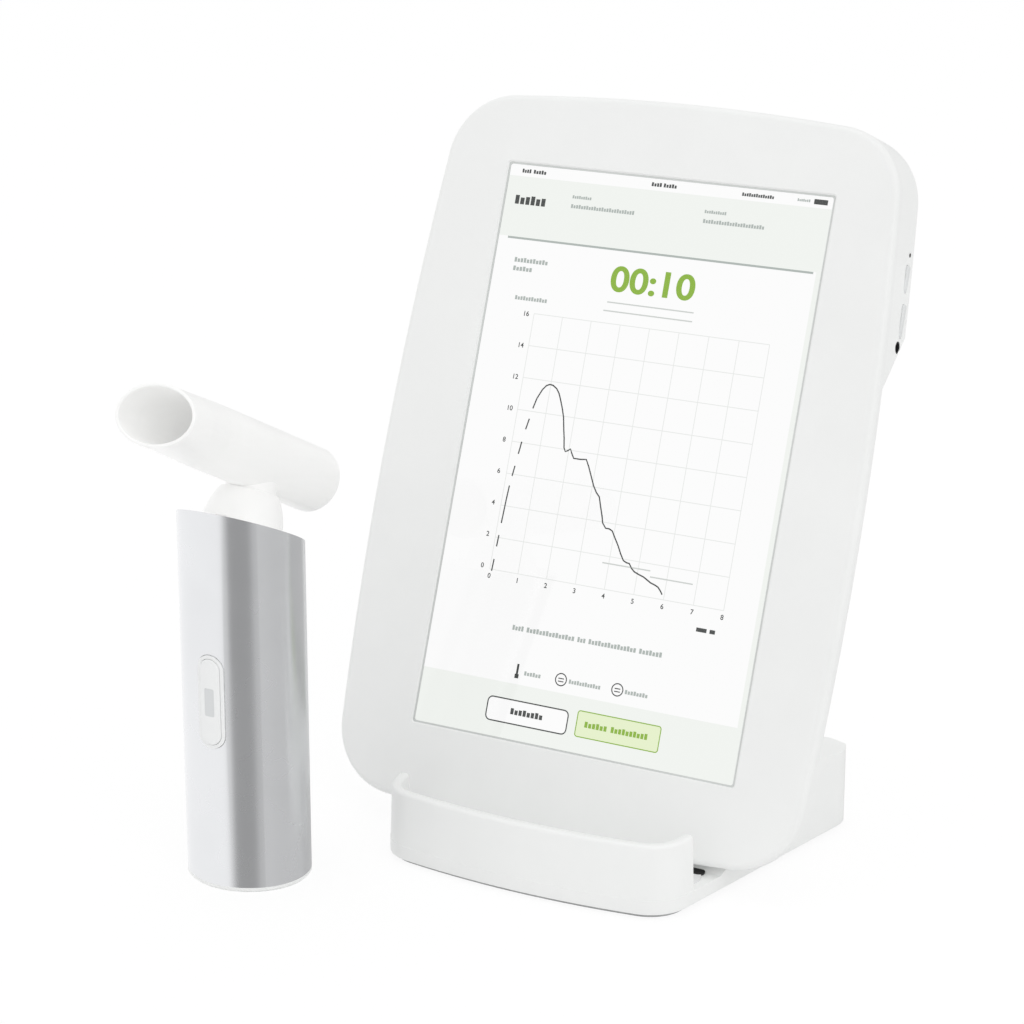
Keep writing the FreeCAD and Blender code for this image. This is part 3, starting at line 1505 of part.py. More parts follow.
collar = collar_face.revolve(vector(0, 0, 0), vector(0, 1, 0), 360)
collar.Placement = FreeCAD.Placement(
    vector(0, collar_place, 0), FreeCAD.Rotation(vector(1, 0, 0), 90))
collar_rim = [
    edge for edge in collar.Edges
    if edge.BoundBox.ZMin > collar_height - 1e-3 and edge.BoundBox.XLength > collar_top_radius]
collar = collar.makeFillet(collar_round, collar_rim)
head = plug.fuse(collar)
socket = Part.makeCylinder(
    stem_radius + running_gap, socket_depth + beyond,
    vector(0, collar_place, collar_height - socket_depth))
head = head.cut(socket)
port_places = [collar_place + side * port_spacing / 2 for side in (-1, 1)]
lid_under = -lid_recess - lid_thickness
for port_y in port_places:
    head = head.cut(
        Part.makeCylinder(
            port_radius, collar_height - lid_under + 2 * beyond, vector(0, port_y, lid_under - beyond)))
notch = Part.makeBox(
    notch_width, notch_depth * 2, 2 * notch_depth,
    vector(-notch_width / 2, collar_place - collar_base_radius - notch_depth * 0.4, -lid_recess - notch_depth))
head = head.cut(notch)
keep(piece("sensor_head_form", head.removeSplitter(), head_frame), "sensor_head")

# Pressure sensor under the lid, its nipples in the two ports, and the seals
socket_floor = collar_height - socket_depth
sensor = Part.makeBox(
    sensor_width, sensor_width, sensor_depth,
    vector(-sensor_width / 2, collar_place - sensor_width / 2, lid_under - sensor_depth))
seals = []
for port_y in port_places:
    sensor = sensor.fuse(
        Part.makeCylinder(nipple_radius, -lid_under + socket_floor / 2, vector(0, port_y, lid_under)))
    seal = Part.makeCylinder(seal_radius, seal_height, vector(0, port_y, socket_floor))
    seals.append(seal.cut(Part.makeCylinder(port_radius, seal_height, vector(0, port_y, socket_floor))))
keep(piece("pressure_sensor_form", sensor.removeSplitter(), head_frame), "pressure_sensor")
keep(piece("port_seals_form", Part.makeCompound(seals), head_frame), "port_seals")


# Breathing tube: an oval mouth end that blends into a round tube, on a stem

def tube_ring(y, share, wall):
    """The tube's section, from round at share 0 to the mouth's oval at 1."""
    half_width = tube_radius + (mouth_half_width - tube_radius) * share - wall
    half_height = tube_radius + (mouth_half_height - tube_radius) * share - wall
    if share > 0:
        ring = Part.Ellipse(vector(half_width, 0, 0), vector(0, half_height, 0), vector(0, 0, 0))
    else:
        ring = Part.Circle(vector(0, 0, 0), vector(0, 0, 1), half_width)
    wire = Part.Wire([ring.toShape()])
    wire.Placement = FreeCAD.Placement(vector(0, y, 0), FreeCAD.Rotation(vector(1, 0, 0), -90))
    return wire


blend_steps = 4


def tube_form(wall, over):
    """The tube's outside, or its bore when a wall is given."""
    mouth_y = -tube_mouth_reach
    blend_start = mouth_y + mouth_straight
    round_y = blend_start + mouth_blend
    rings = [tube_ring(mouth_y - over, 1.0, wall)]
    for step in range(blend_steps):
        along = step / blend_steps
        share = (1 + cos(pi * along)) / 2
        rings.append(tube_ring(blend_start + mouth_blend * along, share, wall))
    rings.append(tube_ring(round_y, 0.0, wall))
    mouth = loft(rings)
    straight = Part.makeCylinder(
        tube_radius - wall, tube_far_reach - round_y + over, vector(0, round_y, 0), vector(0, 1, 0))
    return mouth.fuse(straight)


tube_frame = head_frame.multiply(
    FreeCAD.Placement(vector(0, collar_place, tube_height), FreeCAD.Rotation()))
outside = tube_form(0.0, 0.0)
saddle_foot = collar_height - tube_height
stem_foot = saddle_foot - (socket_depth - seal_height - running_gap)
saddle = Part.makeCylinder(tube_saddle_radius, -saddle_foot, vector(0, 0, saddle_foot))
stem = Part.makeCylinder(stem_radius, -stem_foot, vector(0, 0, stem_foot))
tube = outside.fuse(saddle).fuse(stem)
tube = tube.cut(tube_form(tube_wall + screen_ledge, beyond))
outlet_start = screen_disc_thickness / 2 + seat_gap
outlet = Part.makeCylinder(
    tube_radius - tube_wall, tube_far_reach - outlet_start + beyond,
    vector(0, outlet_start, 0), vector(0, 1, 0))
tube = tube.cut(outlet)
for side in (-1, 1):
    tube = tube.cut(
        Part.makeCylinder(
            port_radius, -stem_foot + beyond, vector(0, side * port_spacing / 2, stem_foot - beyond)))
mouth_edges = [edge for edge in tube.Edges if edge.BoundBox.YMax < -tube_mouth_reach + 1e-3]
far_edges = [edge for edge in tube.Edges if edge.BoundBox.YMin > tube_far_reach - 1e-3]
tube = tube.makeFillet(tube_rim_round, mouth_edges + far_edges)
keep(piece("breathing_tube_form", tube, tube_frame), "breathing_tube")

# Flow screen: a perforated disc in the bore between the two ports
disc = Part.makeCylinder(
    tube_radius - tube_wall - screen_ledge - running_gap, screen_disc_thickness,
    vector(0, -screen_disc_thickness / 2, 0), vector(0, 1, 0))
for ring in range(3):
    count = max(1, 6 * ring)
    for index in range(count):
        angle = 2 * pi * index / count
        corners = [
            vector(
                ring * screen_hole_pitch * cos(angle) + screen_hole_radius * cos(turn * pi / 3),
                -screen_disc_thickness,
                ring * screen_hole_pitch * sin(angle) + screen_hole_radius * sin(turn * pi / 3))
            for turn in range(7)]
        hole = Part.Face(Part.makePolygon(corners)).extrude(vector(0, 2 * screen_disc_thickness, 0))
        disc = disc.cut(hole)
keep(piece("flow_screen_form", disc, tube_frame), "flow_screen")

doc.recompute()

# Every feature is sound before any piece is written
for item in doc.Objects:
    if "Invalid" in item.State or "Error" in item.State:
        raise RuntimeError(f"{item.Name} failed: {item.State}")
for item in nodes:
    if item.Shape.isNull() or not item.Shape.isValid():
        raise RuntimeError(f"{item.Label} has no sound shape")

os.makedirs("parts", exist_ok=True)
for item in nodes:
    item.Shape.exportStep(f"parts/{item.Label}.step")
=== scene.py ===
from math import pi, radians

import bmesh
import bpy
from mathutils import Matrix, Vector


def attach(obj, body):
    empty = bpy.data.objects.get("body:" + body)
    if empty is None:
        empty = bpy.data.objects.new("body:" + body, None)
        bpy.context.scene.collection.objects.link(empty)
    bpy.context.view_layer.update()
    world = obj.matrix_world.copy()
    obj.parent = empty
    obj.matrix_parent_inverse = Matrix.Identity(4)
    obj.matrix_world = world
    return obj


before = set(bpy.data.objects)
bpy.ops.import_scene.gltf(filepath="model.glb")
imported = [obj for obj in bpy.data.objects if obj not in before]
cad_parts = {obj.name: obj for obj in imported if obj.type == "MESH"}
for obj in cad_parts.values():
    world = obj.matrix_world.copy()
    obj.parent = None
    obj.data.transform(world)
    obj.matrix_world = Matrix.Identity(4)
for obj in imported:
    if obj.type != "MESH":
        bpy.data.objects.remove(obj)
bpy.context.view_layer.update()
mm = 0.001


# Cradle shell
# White satin moulding with the front lip, tray and back-rest in one piece.
# Injection moulded with a very fine spark-eroded grain.

def tone(red, green, blue):
    """A screen colour, 0 to 255, as the linear colour that a shader takes."""
    linear = []
    for value in (red, green, blue):
        share = value / 255
        linear.append(share / 12.92 if share <= 0.04045 else ((share + 0.055) / 1.055) ** 2.4)
    return (*linear, 1.0)


def grain_group():
    """Fine surface grain for a bump, and slow clouds that vary tone and gloss."""
    group = bpy.data.node_groups.new("surface_grain", "ShaderNodeTree")
    face = group.interface
    face.new_socket("Vector", in_out="INPUT", socket_type="NodeSocketVector")
    face.new_socket("Grain", in_out="INPUT", socket_type="NodeSocketFloat")
    face.new_socket("Clouds", in_out="INPUT", socket_type="NodeSocketFloat")
    face.new_socket("Height", in_out="OUTPUT", socket_type="NodeSocketFloat")
    face.new_socket("Cloud", in_out="OUTPUT", socket_type="NodeSocketFloat")
    nodes, links = group.nodes, group.links
    inside = nodes.new("NodeGroupInput")
    outside = nodes.new("NodeGroupOutput")
    grain = nodes.new("ShaderNodeTexNoise")
    grain.inputs["Detail"].default_value = 3.0
    clouds = nodes.new("ShaderNodeTexNoise")
    clouds.inputs["Detail"].default_value = 4.0
    clouds.inputs["Roughness"].default_value = 0.6
    links.new(inside.outputs["Vector"], grain.inputs["Vector"])
    links.new(inside.outputs["Grain"], grain.inputs["Scale"])
    links.new(inside.outputs["Vector"], clouds.inputs["Vector"])
    links.new(inside.outputs["Clouds"], clouds.inputs["Scale"])
    links.new(grain.outputs["Fac"], outside.inputs["Height"])
    links.new(clouds.outputs["Fac"], outside.inputs["Cloud"])
    return group


surface_grain = grain_group()


def finish(name, light, dark, gloss, grain=2200, clouds=18, relief=0.02, **sockets):
    """A material whose tone and roughness drift slightly over a fine grain."""
    material = bpy.data.materials.new(name)
    material.use_nodes = True
    nodes, links = material.node_tree.nodes, material.node_tree.links
    shader = nodes["Principled BSDF"]
    place = nodes.new("ShaderNodeTexCoord")
    texture = nodes.new("ShaderNodeGroup")
    texture.node_tree = surface_grain
    texture.inputs["Grain"].default_value = grain
    texture.inputs["Clouds"].default_value = clouds
    links.new(place.outputs["Object"], texture.inputs["Vector"])
    spread = nodes.new("ShaderNodeMapRange")
    spread.interpolation_type = "SMOOTHSTEP"
    spread.inputs["From Min"].default_value = 0.3
    spread.inputs["From Max"].default_value = 0.7
    links.new(texture.outputs["Cloud"], spread.inputs["Value"])
    colour = nodes.new("ShaderNodeMix")
    colour.data_type = "RGBA"
    colour.inputs["A"].default_value = dark
    colour.inputs["B"].default_value = light
    links.new(spread.outputs["Result"], colour.inputs["Factor"])
    links.new(colour.outputs["Result"], shader.inputs["Base Color"])
    roughness = nodes.new("ShaderNodeMapRange")
    roughness.inputs["To Min"].default_value = gloss[0]
    roughness.inputs["To Max"].default_value = gloss[1]
    links.new(spread.outputs["Result"], roughness.inputs["Value"])
    links.new(roughness.outputs["Result"], shader.inputs["Roughness"])
    bump = nodes.new("ShaderNodeBump")
    bump.inputs["Strength"].default_value = 0.5
    bump.inputs["Distance"].default_value = relief * mm
    links.new(texture.outputs["Height"], bump.inputs["Height"])
    links.new(bump.outputs["Normal"], shader.inputs["Normal"])
    for socket, value in sockets.items():
        shader.inputs[socket.replace("_", " ")].default_value = value
    return material


def dress(material, *nodes):
    """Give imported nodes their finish."""
    for node in nodes:
        for material_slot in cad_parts[node].material_slots:
            material_slot.material = material


white = (1.0, 1.0, 1.0, 1.0)
# The white shell glows faintly, painted light that evens its shading; the tablet's rear shell and the
# handset's cap take it too.
white_shell = finish(
    "white_shell", tone(242, 243, 242), tone(239, 240, 239), (0.40, 0.48),
    Emission_Color=white, Emission_Strength=0.05)
dress(white_shell, "cradle_shell")

# Base plate, ballast and dock
# Grey base screwed into the shell, a steel weight inside, and the charging
# contacts in the back-rest with the inlet behind them.

grey_plastic = finish("grey_plastic", tone(150, 152, 153), tone(138, 140, 141), (0.5, 0.6), grain=1500)
black_plastic = finish("black_plastic", tone(48, 49, 51), tone(38, 39, 41), (0.4, 0.55), grain=1500)
plated_steel = finish("plated_steel", tone(196, 197, 200), tone(176, 177, 180), (0.25, 0.4), Metallic=1.0)
brass_pins = finish("brass_pins", tone(222, 190, 122), tone(202, 166, 98), (0.2, 0.3), Metallic=1.0)
dress(grey_plastic, "base_plate")
dress(plated_steel, "ballast_plate", "base_screws")
dress(black_plastic, "dock_connector", "power_inlet")
dress(brass_pins, "dock_pins")

# Rubber parts of the cradle
# A pale sole under the base, a white mat in the tray, black pads behind the
# tablet, and two black rubber sheets in the trough: painted shadow under its lower corners.

black_rubber = finish(
    "black_rubber", tone(38, 38, 39), tone(28, 28, 29), (0.75, 0.9), grain=900, relief=0.06)
pale_rubber = finish(
    "pale_rubber", tone(196, 197, 197), tone(186, 187, 187), (0.7, 0.85), grain=900, relief=0.06)
white_rubber = finish(
    "white_rubber", tone(234, 235, 235), tone(228, 229, 229), (0.6, 0.75), grain=900, relief=0.05)
dress(black_rubber, "rest_pads")
dress(pale_rubber, "desk_sole")
dress(white_rubber, "trough_mat")
# The two black sheets lie where the tablet's lower corners shade the trough: painted shadow.
pad_place = (48.5, -28.5, 7.05)
pad_size = (21.0, 4.6)
pad_corner = 1.8
pad_thickness = 0.75
to_metres = Matrix.Diagonal((mm, mm, mm, 1.0))


def mesh_of(name, shape):
    """A finished mesh from the shape that was drawn."""
    mesh = bpy.data.meshes.new(name)
    shape.to_mesh(mesh)
    shape.free()
    return mesh


def shown(name, data):
    """A new object of the scene, at the origin."""
    thing = bpy.data.objects.new(name, data)
    bpy.context.scene.collection.objects.link(thing)
    return thing


def rounded(shape, corners, radius, segments):
    """Round the corners of flat faces."""
    bmesh.ops.bevel(
        shape, geom=corners, offset=radius, offset_type="OFFSET", segments=segments, profile=0.5,
        affect="VERTICES", material=-1)


pads = bmesh.new()
for side in (-1, 1):
    place = (
        Matrix.Translation((side * pad_place[0], *pad_place[1:]))
        @ Matrix.Diagonal((*pad_size, 1.0, 1.0)))
    corners = bmesh.ops.create_grid(pads, x_segments=1, y_segments=1, size=0.5, matrix=place)["verts"]
    rounded(pads, corners, pad_corner, segments=5)
raised = bmesh.ops.extrude_face_region(pads, geom=pads.faces[:])["geom"]
tops = [part for part in raised if isinstance(part, bmesh.types.BMVert)]
bmesh.ops.translate(pads, verts=tops, vec=(0, 0, pad_thickness))
bmesh.ops.recalc_face_normals(pads, faces=pads.faces[:])
pads_mesh = mesh_of("shadow_sheets", pads)
pads_mesh.transform(to_metres)
pads_mesh.materials.append(black_rubber)
shadow_sheets = shown("shadow_sheets", pads_mesh)
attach(shadow_sheets, "cradle")

# Circuit boards
# Glass-fibre boards under green solder mask, for charger, tablet and handset.
# The mask is darker and lighter in small patches, as over copper.

board_green = finish(
    "board_green", tone(42, 110, 74), tone(24, 84, 54), (0.25, 0.4), grain=600, clouds=240, relief=0.04)
dress(board_green, "charger_board", "main_board", "side_key_board", "handset_board")

# Tablet shells
# Two white mouldings: the front bezel with its window, and the rear shell.
# The bezel is greyer than the shell, painted shade that dims its brightly lit face, and it glows faintly,
# painted light that evens it.

# The rear shell takes the white shell's faint glow, painted light.
dress(white_shell, "rear_shell")
shaded_glowing_face = finish(
    "shaded_glowing_face", tone(225, 226, 225), tone(222, 223, 222), (0.40, 0.48),
    Emission_Color=white, Emission_Strength=0.15)
dress(shaded_glowing_face, "front_bezel")

# Inside the tablet
# Pressed aluminium chassis with battery, loudspeaker and contacts.
# The plated screws go in from behind.

sheet_aluminium = finish(
    "sheet_aluminium", tone(206, 207, 209), tone(190, 191, 193), (0.3, 0.42), Metallic=1.0)
dress(sheet_aluminium, "chassis_plate")
dress(grey_plastic, "battery_pack")
dress(black_plastic, "loudspeaker", "audio_socket")
dress(brass_pins, "contact_strip")
dress(plated_steel, "rear_screws")

# Keys and pin-holes of the right side
# Two pale grey keys, and a small black disc beside each of them: painted shade
# for a pin-hole. The discs lie on the bowed side, a hair outside it.

key_grey = finish("key_grey", tone(230, 232, 232), tone(224, 226, 226), (0.4, 0.5))
dress(key_grey, "power_key", "volume_key")
tablet_foot = (-3.2, -32.1, 9.5)
lean_angle = 20.3
tablet_place = (
    Matrix.Translation(Vector(tablet_foot) * mm) @ Matrix.Rotation(radians(90 - lean_angle), 4, "X"))
side_reach = 99.8
side_bow_radius = 1500.0
side_bow_middle = 112.5
hole_lift = 0.06


def side_x(height):
    """How far out the tablet's bowed side is at a height above its foot."""
    drop = side_bow_radius - (side_bow_radius ** 2 - (height - side_bow_middle) ** 2) ** 0.5
    return side_reach - drop


# Black discs stand in for the shade inside two pin-holes: painted shade.
hole_shades = bmesh.new()
for height, depth, radius in ((232.2, -16.8, 0.8), (213.0, -14.9, 0.6)):
    place = (
        Matrix.Translation((side_x(height) + hole_lift, height, depth))
        @ Matrix.Rotation(radians(90), 4, "Y"))
    bmesh.ops.create_circle(hole_shades, cap_ends=True, segments=20, radius=radius, matrix=place)
hole_shade_mesh = mesh_of("side_hole_shades", hole_shades)
hole_shade_mesh.transform(tablet_place @ to_metres)
hole_shade_mesh.materials.append(black_plastic)
hole_shade_piece = shown("side_hole_shades", hole_shade_mesh)
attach(hole_shade_piece, "tablet")

# Screen glass, gasket and display
# A clear pane in a grey gasket, over the dark display.
# The pane is slightly smeared, which varies its gloss.

gasket_grey = finish("gasket_grey", tone(214, 217, 215), tone(206, 209, 207), (0.6, 0.7))
dress(gasket_grey, "screen_gasket")
dress(black_plastic, "display_panel")
glass_index = 1.45
smear_scale = 30
smear_roughness = 0.04
clear_glass = bpy.data.materials.new("clear_glass")
clear_glass.use_nodes = True
nodes, links = clear_glass.node_tree.nodes, clear_glass.node_tree.links
pane = nodes["Principled BSDF"]
pane.inputs["Base Color"].default_value = white
pane.inputs["Transmission Weight"].default_value = 1.0
pane.inputs["IOR"].default_value = glass_index
smear = nodes.new("ShaderNodeTexNoise")
smear.inputs["Scale"].default_value = smear_scale
smear_place = nodes.new("ShaderNodeTexCoord")
smear_range = nodes.new("ShaderNodeMapRange")
smear_range.inputs["To Min"].default_value = 0.0
smear_range.inputs["To Max"].default_value = smear_roughness
links.new(smear_place.outputs["Object"], smear.inputs["Vector"])
links.new(smear.outputs["Fac"], smear_range.inputs["Value"])
links.new(smear_range.outputs["Result"], pane.inputs["Roughness"])
dress(clear_glass, "screen_glass")

# Lit picture
# Flat shapes with a light of their own, just in front of the display. Sizes
# are millimetres up the tablet's face; the lifts keep the layers apart.

picture_x = 3.58
picture_depth = -1.96
picture_low = 32.0
picture_width = 135.4
picture_length = 216.64
window_x = 1.85
band_lift, grid_lift, line_lift, mark_lift, top_lift = 0.01, 0.02, 0.03, 0.04, 0.05
screen_strength = 0.975
pixel_scale = 900
pixel_shade = 0.985
# Share of the display's light left to rays that have bounced more than once: painted shade.
bounced_shade = 0.62


def shaded(colour, share):
    """A colour with less light."""
    return (*(value * share for value in colour[:3]), 1.0)


def lit(name, colour):
    """A part of the picture: its own light, with the display's pixel grid.

    Rays with more than one bounce behind them, as from the handset's sleeve, get a darker copy: painted
    shade in its reflections and cast light.
    """
    material = bpy.data.materials.new(name)
    material.use_nodes = True
    nodes, links = material.node_tree.nodes, material.node_tree.links
    shader = nodes["Principled BSDF"]
    shader.inputs["Base Color"].default_value = (0.0, 0.0, 0.0, 1.0)
    shader.inputs["Roughness"].default_value = 0.6
    shader.inputs["Specular IOR Level"].default_value = 0.0
    shader.inputs["Emission Strength"].default_value = screen_strength
    place = nodes.new("ShaderNodeTexCoord")
    pixels = nodes.new("ShaderNodeTexWave")
    pixels.bands_direction = "X"
    pixels.inputs["Scale"].default_value = pixel_scale
    shade = nodes.new("ShaderNodeMix")
    shade.data_type = "RGBA"
    shade.inputs["A"].default_value = shaded(colour, pixel_shade)
    shade.inputs["B"].default_value = colour
    links.new(place.outputs["Object"], pixels.inputs["Vector"])
    links.new(pixels.outputs["Fac"], shade.inputs["Factor"])
    # Rays past the first bounce get the darker copy: painted shade in the display's reflections.
    path = nodes.new("ShaderNodeLightPath")
    bounce_shaded = nodes.new("ShaderNodeMix")
    bounce_shaded.data_type = "RGBA"
    bounce_shaded.inputs["B"].default_value = shaded(colour, bounced_shade)
    past_pane = nodes.new("ShaderNodeMath")
    past_pane.operation = "GREATER_THAN"
    past_pane.inputs[1].default_value = 1.5
    links.new(path.outputs["Ray Depth"], past_pane.inputs[0])
    links.new(past_pane.outputs["Value"], bounce_shaded.inputs["Factor"])
    links.new(shade.outputs["Result"], bounce_shaded.inputs["A"])
    links.new(bounce_shaded.outputs["Result"], shader.inputs["Emission Color"])
    return material


screen_white = lit("screen_white", tone(255, 255, 255))
screen_band = lit("screen_band", tone(244, 247, 243))
screen_grid = lit("screen_grid", tone(233, 235, 233))
screen_line = lit("screen_line", tone(176, 184, 180))
screen_pale = lit("screen_pale", tone(206, 210, 207))
screen_ink = lit("screen_ink", tone(70, 73, 72))
screen_green = lit("screen_green", tone(141, 182, 60))
screen_mint = lit("screen_mint", tone(233, 244, 206))


def on_tablet(mesh, name, material):
    """Finish a flat mesh drawn in millimetres on the tablet's face."""
    mesh.transform(to_metres)
    mesh.transform(tablet_place)
    piece = shown(name, mesh)
    mesh.materials.clear()
    mesh.materials.append(material)
    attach(piece, "tablet")
    return piece


def bar(shape, x, low, width, length, lift):
    """One flat bar of the picture, from its low left corner."""
    place = (
        Matrix.Translation((picture_x + x + width / 2, low + length / 2, picture_depth + lift))
        @ Matrix.Diagonal((width, length, 1.0, 1.0)))
    bmesh.ops.create_grid(shape, x_segments=1, y_segments=1, size=0.5, matrix=place)


def bars(name, material, lift, places):
    """Flat bars of one colour as one piece."""
    shape = bmesh.new()
    for x, low, width, length in places:
        bar(shape, x, low, width, length, lift)
    return on_tablet(mesh_of(name, shape), name, material)


left = window_x - picture_x - picture_width / 2
right = left + picture_width
header_low = 220.4
header_length = 23.2
low_band = 21.4
side_band_left = 62.9
side_band_length = picture_length - low_band - 5.0
bars("picture_ground", screen_white, 0.0, [(left, picture_low, picture_width, picture_length)])
bars("picture_bands", screen_band, band_lift, [
    (left, header_low, side_band_left - left, header_length),
    (left, picture_low, picture_width, low_band),
    (side_band_left, picture_low + low_band, right - side_band_left, side_band_length)])
bars("header_line", screen_line, mark_lift, [(-65.2, 219.6, 127.0, 0.8)])

# Rows of the picture
# Rows of plain blocks in the header, beside the timer and under the chart.
# Each row is a bar, cut into blocks of three heights.

block_width = 0.72
block_share = 0.76
block_heights = (1.0, 0.76, 0.88)


def blocks(places):
    """Bars cut into blocks that are a little narrower than they are high."""
    found = []
    for x, low, width, height in places:
        count = max(2, round(width / (block_width * height)))
        pitch = width / count
        for index in range(count):
            rise = height * block_heights[index % len(block_heights)]
            found.append((x + index * pitch, low, pitch * block_share, rise))
    return found


bars("dark_words", screen_ink, mark_lift, blocks([
    (-64.8, 232.9, 13.6, 3.4),
    (-63.8, 245.0, 4.0, 1.5), (-58.9, 245.0, 5.6, 1.5),
    (-8.6, 245.1, 4.4, 1.5), (-3.6, 245.1, 5.6, 1.5),
    (28.6, 245.1, 13.0, 1.3)]) + [(57.4, 244.9, 5.4, 1.9)])
bars("grey_words", screen_line, mark_lift, blocks([
    (-60.6, 210.9, 14.6, 1.8), (-60.6, 207.6, 8.4, 1.8),
    (-57.6, 196.7, 14.0, 1.6),
    (-40.6, 237.3, 8.2, 1.2), (-40.6, 233.6, 27.0, 1.5),
    (14.8, 237.3, 9.0, 1.2), (14.8, 233.6, 25.0, 1.5),
    (50.8, 245.4, 5.2, 1.0)]))
sentence = []
sentence_x = -34.4
word_gap = 1.1
for word in (5.0, 20.5, 3.6, 20.0, 9.6):
    sentence.append((sentence_x, 73.2, word, 1.9))
    sentence_x += word + word_gap
bars("sentence_words", screen_line, mark_lift, blocks(sentence))
bars("readout_words", screen_line, mark_lift, blocks([
    (-26.2, 57.2, 7.2, 1.6), (-7.2, 57.4, 13.4, 1.6), (16.2, 57.6, 9.6, 1.6)]))

# Timer and chart of the picture
# Green digits over two rules. Below them a grid of eight by eight squares
# with its numbers, a short mark, and a generic curve of flow over volume.

grid_x = -48.3
grid_low = 94.2
grid_step = 12.25
grid_line = 0.3
squares = 8
grid_lines = []
for index in range(squares + 1):
    offset = index * grid_step - grid_line / 2
    grid_lines.append((grid_x + offset, grid_low, grid_line, squares * grid_step))
    grid_lines.append((grid_x, grid_low + offset, squares * grid_step, grid_line))
bars("chart_grid", screen_grid, grid_lift, grid_lines)
bars("timer_rules", screen_pale, mark_lift, [(-18.6, 199.9, 36.0, 0.5), (-19.6, 196.6, 37.0, 0.5)])
bars("chart_mark", screen_pale, mark_lift, [(-2.0, 103.6, 20.0, 0.5), (18.2, 101.4, 17.6, 0.5)])
size_per_height = 1.38


def number(words, x, middle, height, thickness=0.0, spread=1.0):
    """Characters as a mesh, centred on a point of the picture."""
    text = bpy.data.curves.new("characters", "FONT")
    text.body = words
    text.size = height * size_per_height
    text.offset = thickness
    text.align_x = "CENTER"
    text.align_y = "CENTER"
    holder = bpy.data.objects.new("characters", text)
    mesh = bpy.data.meshes.new_from_object(holder)
    bpy.data.objects.remove(holder)
    mesh.transform(Matrix.Diagonal((spread, 1.0, 1.0, 1.0)))
    mesh.transform(Matrix.Translation((picture_x + x, middle, picture_depth + top_lift)))
    return mesh


def joined(name, meshes, material):
    """Several meshes as one piece of the picture."""
    shape = bmesh.new()
    for mesh in meshes:
        shape.from_mesh(mesh)
        bpy.data.meshes.remove(mesh)
    return on_tablet(mesh_of(name, shape), name, material)


joined("timer_digits", [number("00:10", -1.2, 208.6, 9.6, thickness=0.3, spread=1.2)], screen_green)
numeral_height = 1.9
numeral_boldness = 0.05
flow_x, flow_low, flow_step = -51.7, grid_low + 0.9, 12.08
volume_x, volume_low, volume_step = grid_x + 0.2, 91.6, 12.2
axis_numbers = [
    number(str(2 * index), flow_x, flow_low + index * flow_step, numeral_height, numeral_boldness)
    for index in range(squares + 1)]
axis_numbers += [
    number(str(index), volume_x + index * volume_step, volume_low, numeral_height, numeral_boldness)
    for index in range(squares + 1)]
joined("chart_numbers", axis_numbers, screen_ink)
bars("axis_unit", screen_ink, mark_lift, [(40.2, 85.0, 4.2, 1.5), (45.6, 85.0, 2.2, 1.5)])
curve_width = 0.55
flattening = 0.1


def stroke(name, material, parts):
    """Drawn lines of round cross-section, laid flat in the picture."""
    line = bpy.data.curves.new(name, "CURVE")
    line.dimensions = "3D"
    line.bevel_depth = curve_width / 2
    line.bevel_resolution = 1
    for part in parts:
        spline = line.splines.new("POLY")
        spline.points.add(len(part) - 1)
        for point, (x, y) in zip(spline.points, part):
            point.co = (x, y, 0.0, 1.0)
    holder = bpy.data.objects.new(name, line)
    mesh = bpy.data.meshes.new_from_object(holder)
    bpy.data.objects.remove(holder)
    mesh.transform(Matrix.Diagonal((1.0, 1.0, flattening, 1.0)))
    mesh.transform(Matrix.Translation((picture_x, 0, picture_depth + line_lift)))
    return on_tablet(mesh, name, material)


rising = [
    (-47.4, 93.6), (-47.2, 98.2), (-47.1, 103.0), (-46.9, 107.4), (-46.8, 112.0), (-46.6, 116.8),
    (-46.4, 121.6), (-46.1, 126.5), (-45.7, 130.2), (-45.2, 134.2), (-44.7, 138.8), (-44.1, 143.6),
    (-43.4, 148.4), (-42.6, 152.6), (-41.9, 156.6), (-40.9, 160.6), (-39.2, 164.2), (-37.8, 165.9),
    (-36.4, 166.5)]
dashes = ((0, 2), (2, 4), (4, 8), (8, 10), (10, 12), (12, 14), (14, 19))
stroke("curve_rise", screen_ink, [rising[first:last] for first, last in dashes])
falling = [
    (-36.4, 166.5), (-35.0, 166.3), (-33.3, 165.3), (-32.0, 163.7), (-30.9, 161.4), (-29.6, 158.4),
    (-28.4, 155.1), (-27.4, 150.5), (-26.6, 147.2), (-26.0, 143.8), (-25.2, 142.4), (-24.2, 142.9),
    (-23.2, 143.7), (-22.4, 142.2), (-21.2, 140.4), (-18.4, 140.4), (-15.9, 140.7), (-14.4, 138.2),
    (-12.7, 134.8), (-11.0, 131.4), (-9.4, 129.1), (-7.9, 127.7), (-6.6, 124.0), (-5.4, 120.8),
    (-4.7, 118.4), (-3.1, 116.6), (-1.6, 116.6), (-0.2, 116.0), (1.4, 113.6), (3.2, 111.0),
    (4.8, 108.2), (6.4, 105.9), (7.8, 105.3), (9.0, 105.2), (10.2, 103.6), (11.6, 102.5),
    (13.6, 101.8), (15.7, 101.2), (17.4, 100.3), (19.0, 99.5), (20.8, 99.0), (22.2, 98.4),
    (23.4, 97.2), (24.3, 96.0)]
stroke("curve_fall", screen_ink, [falling])

# Buttons and icons of the picture
# Two rounded panels with an outline, a fill and a row of blocks each.
# Above them two ringed signs and a small thermometer.

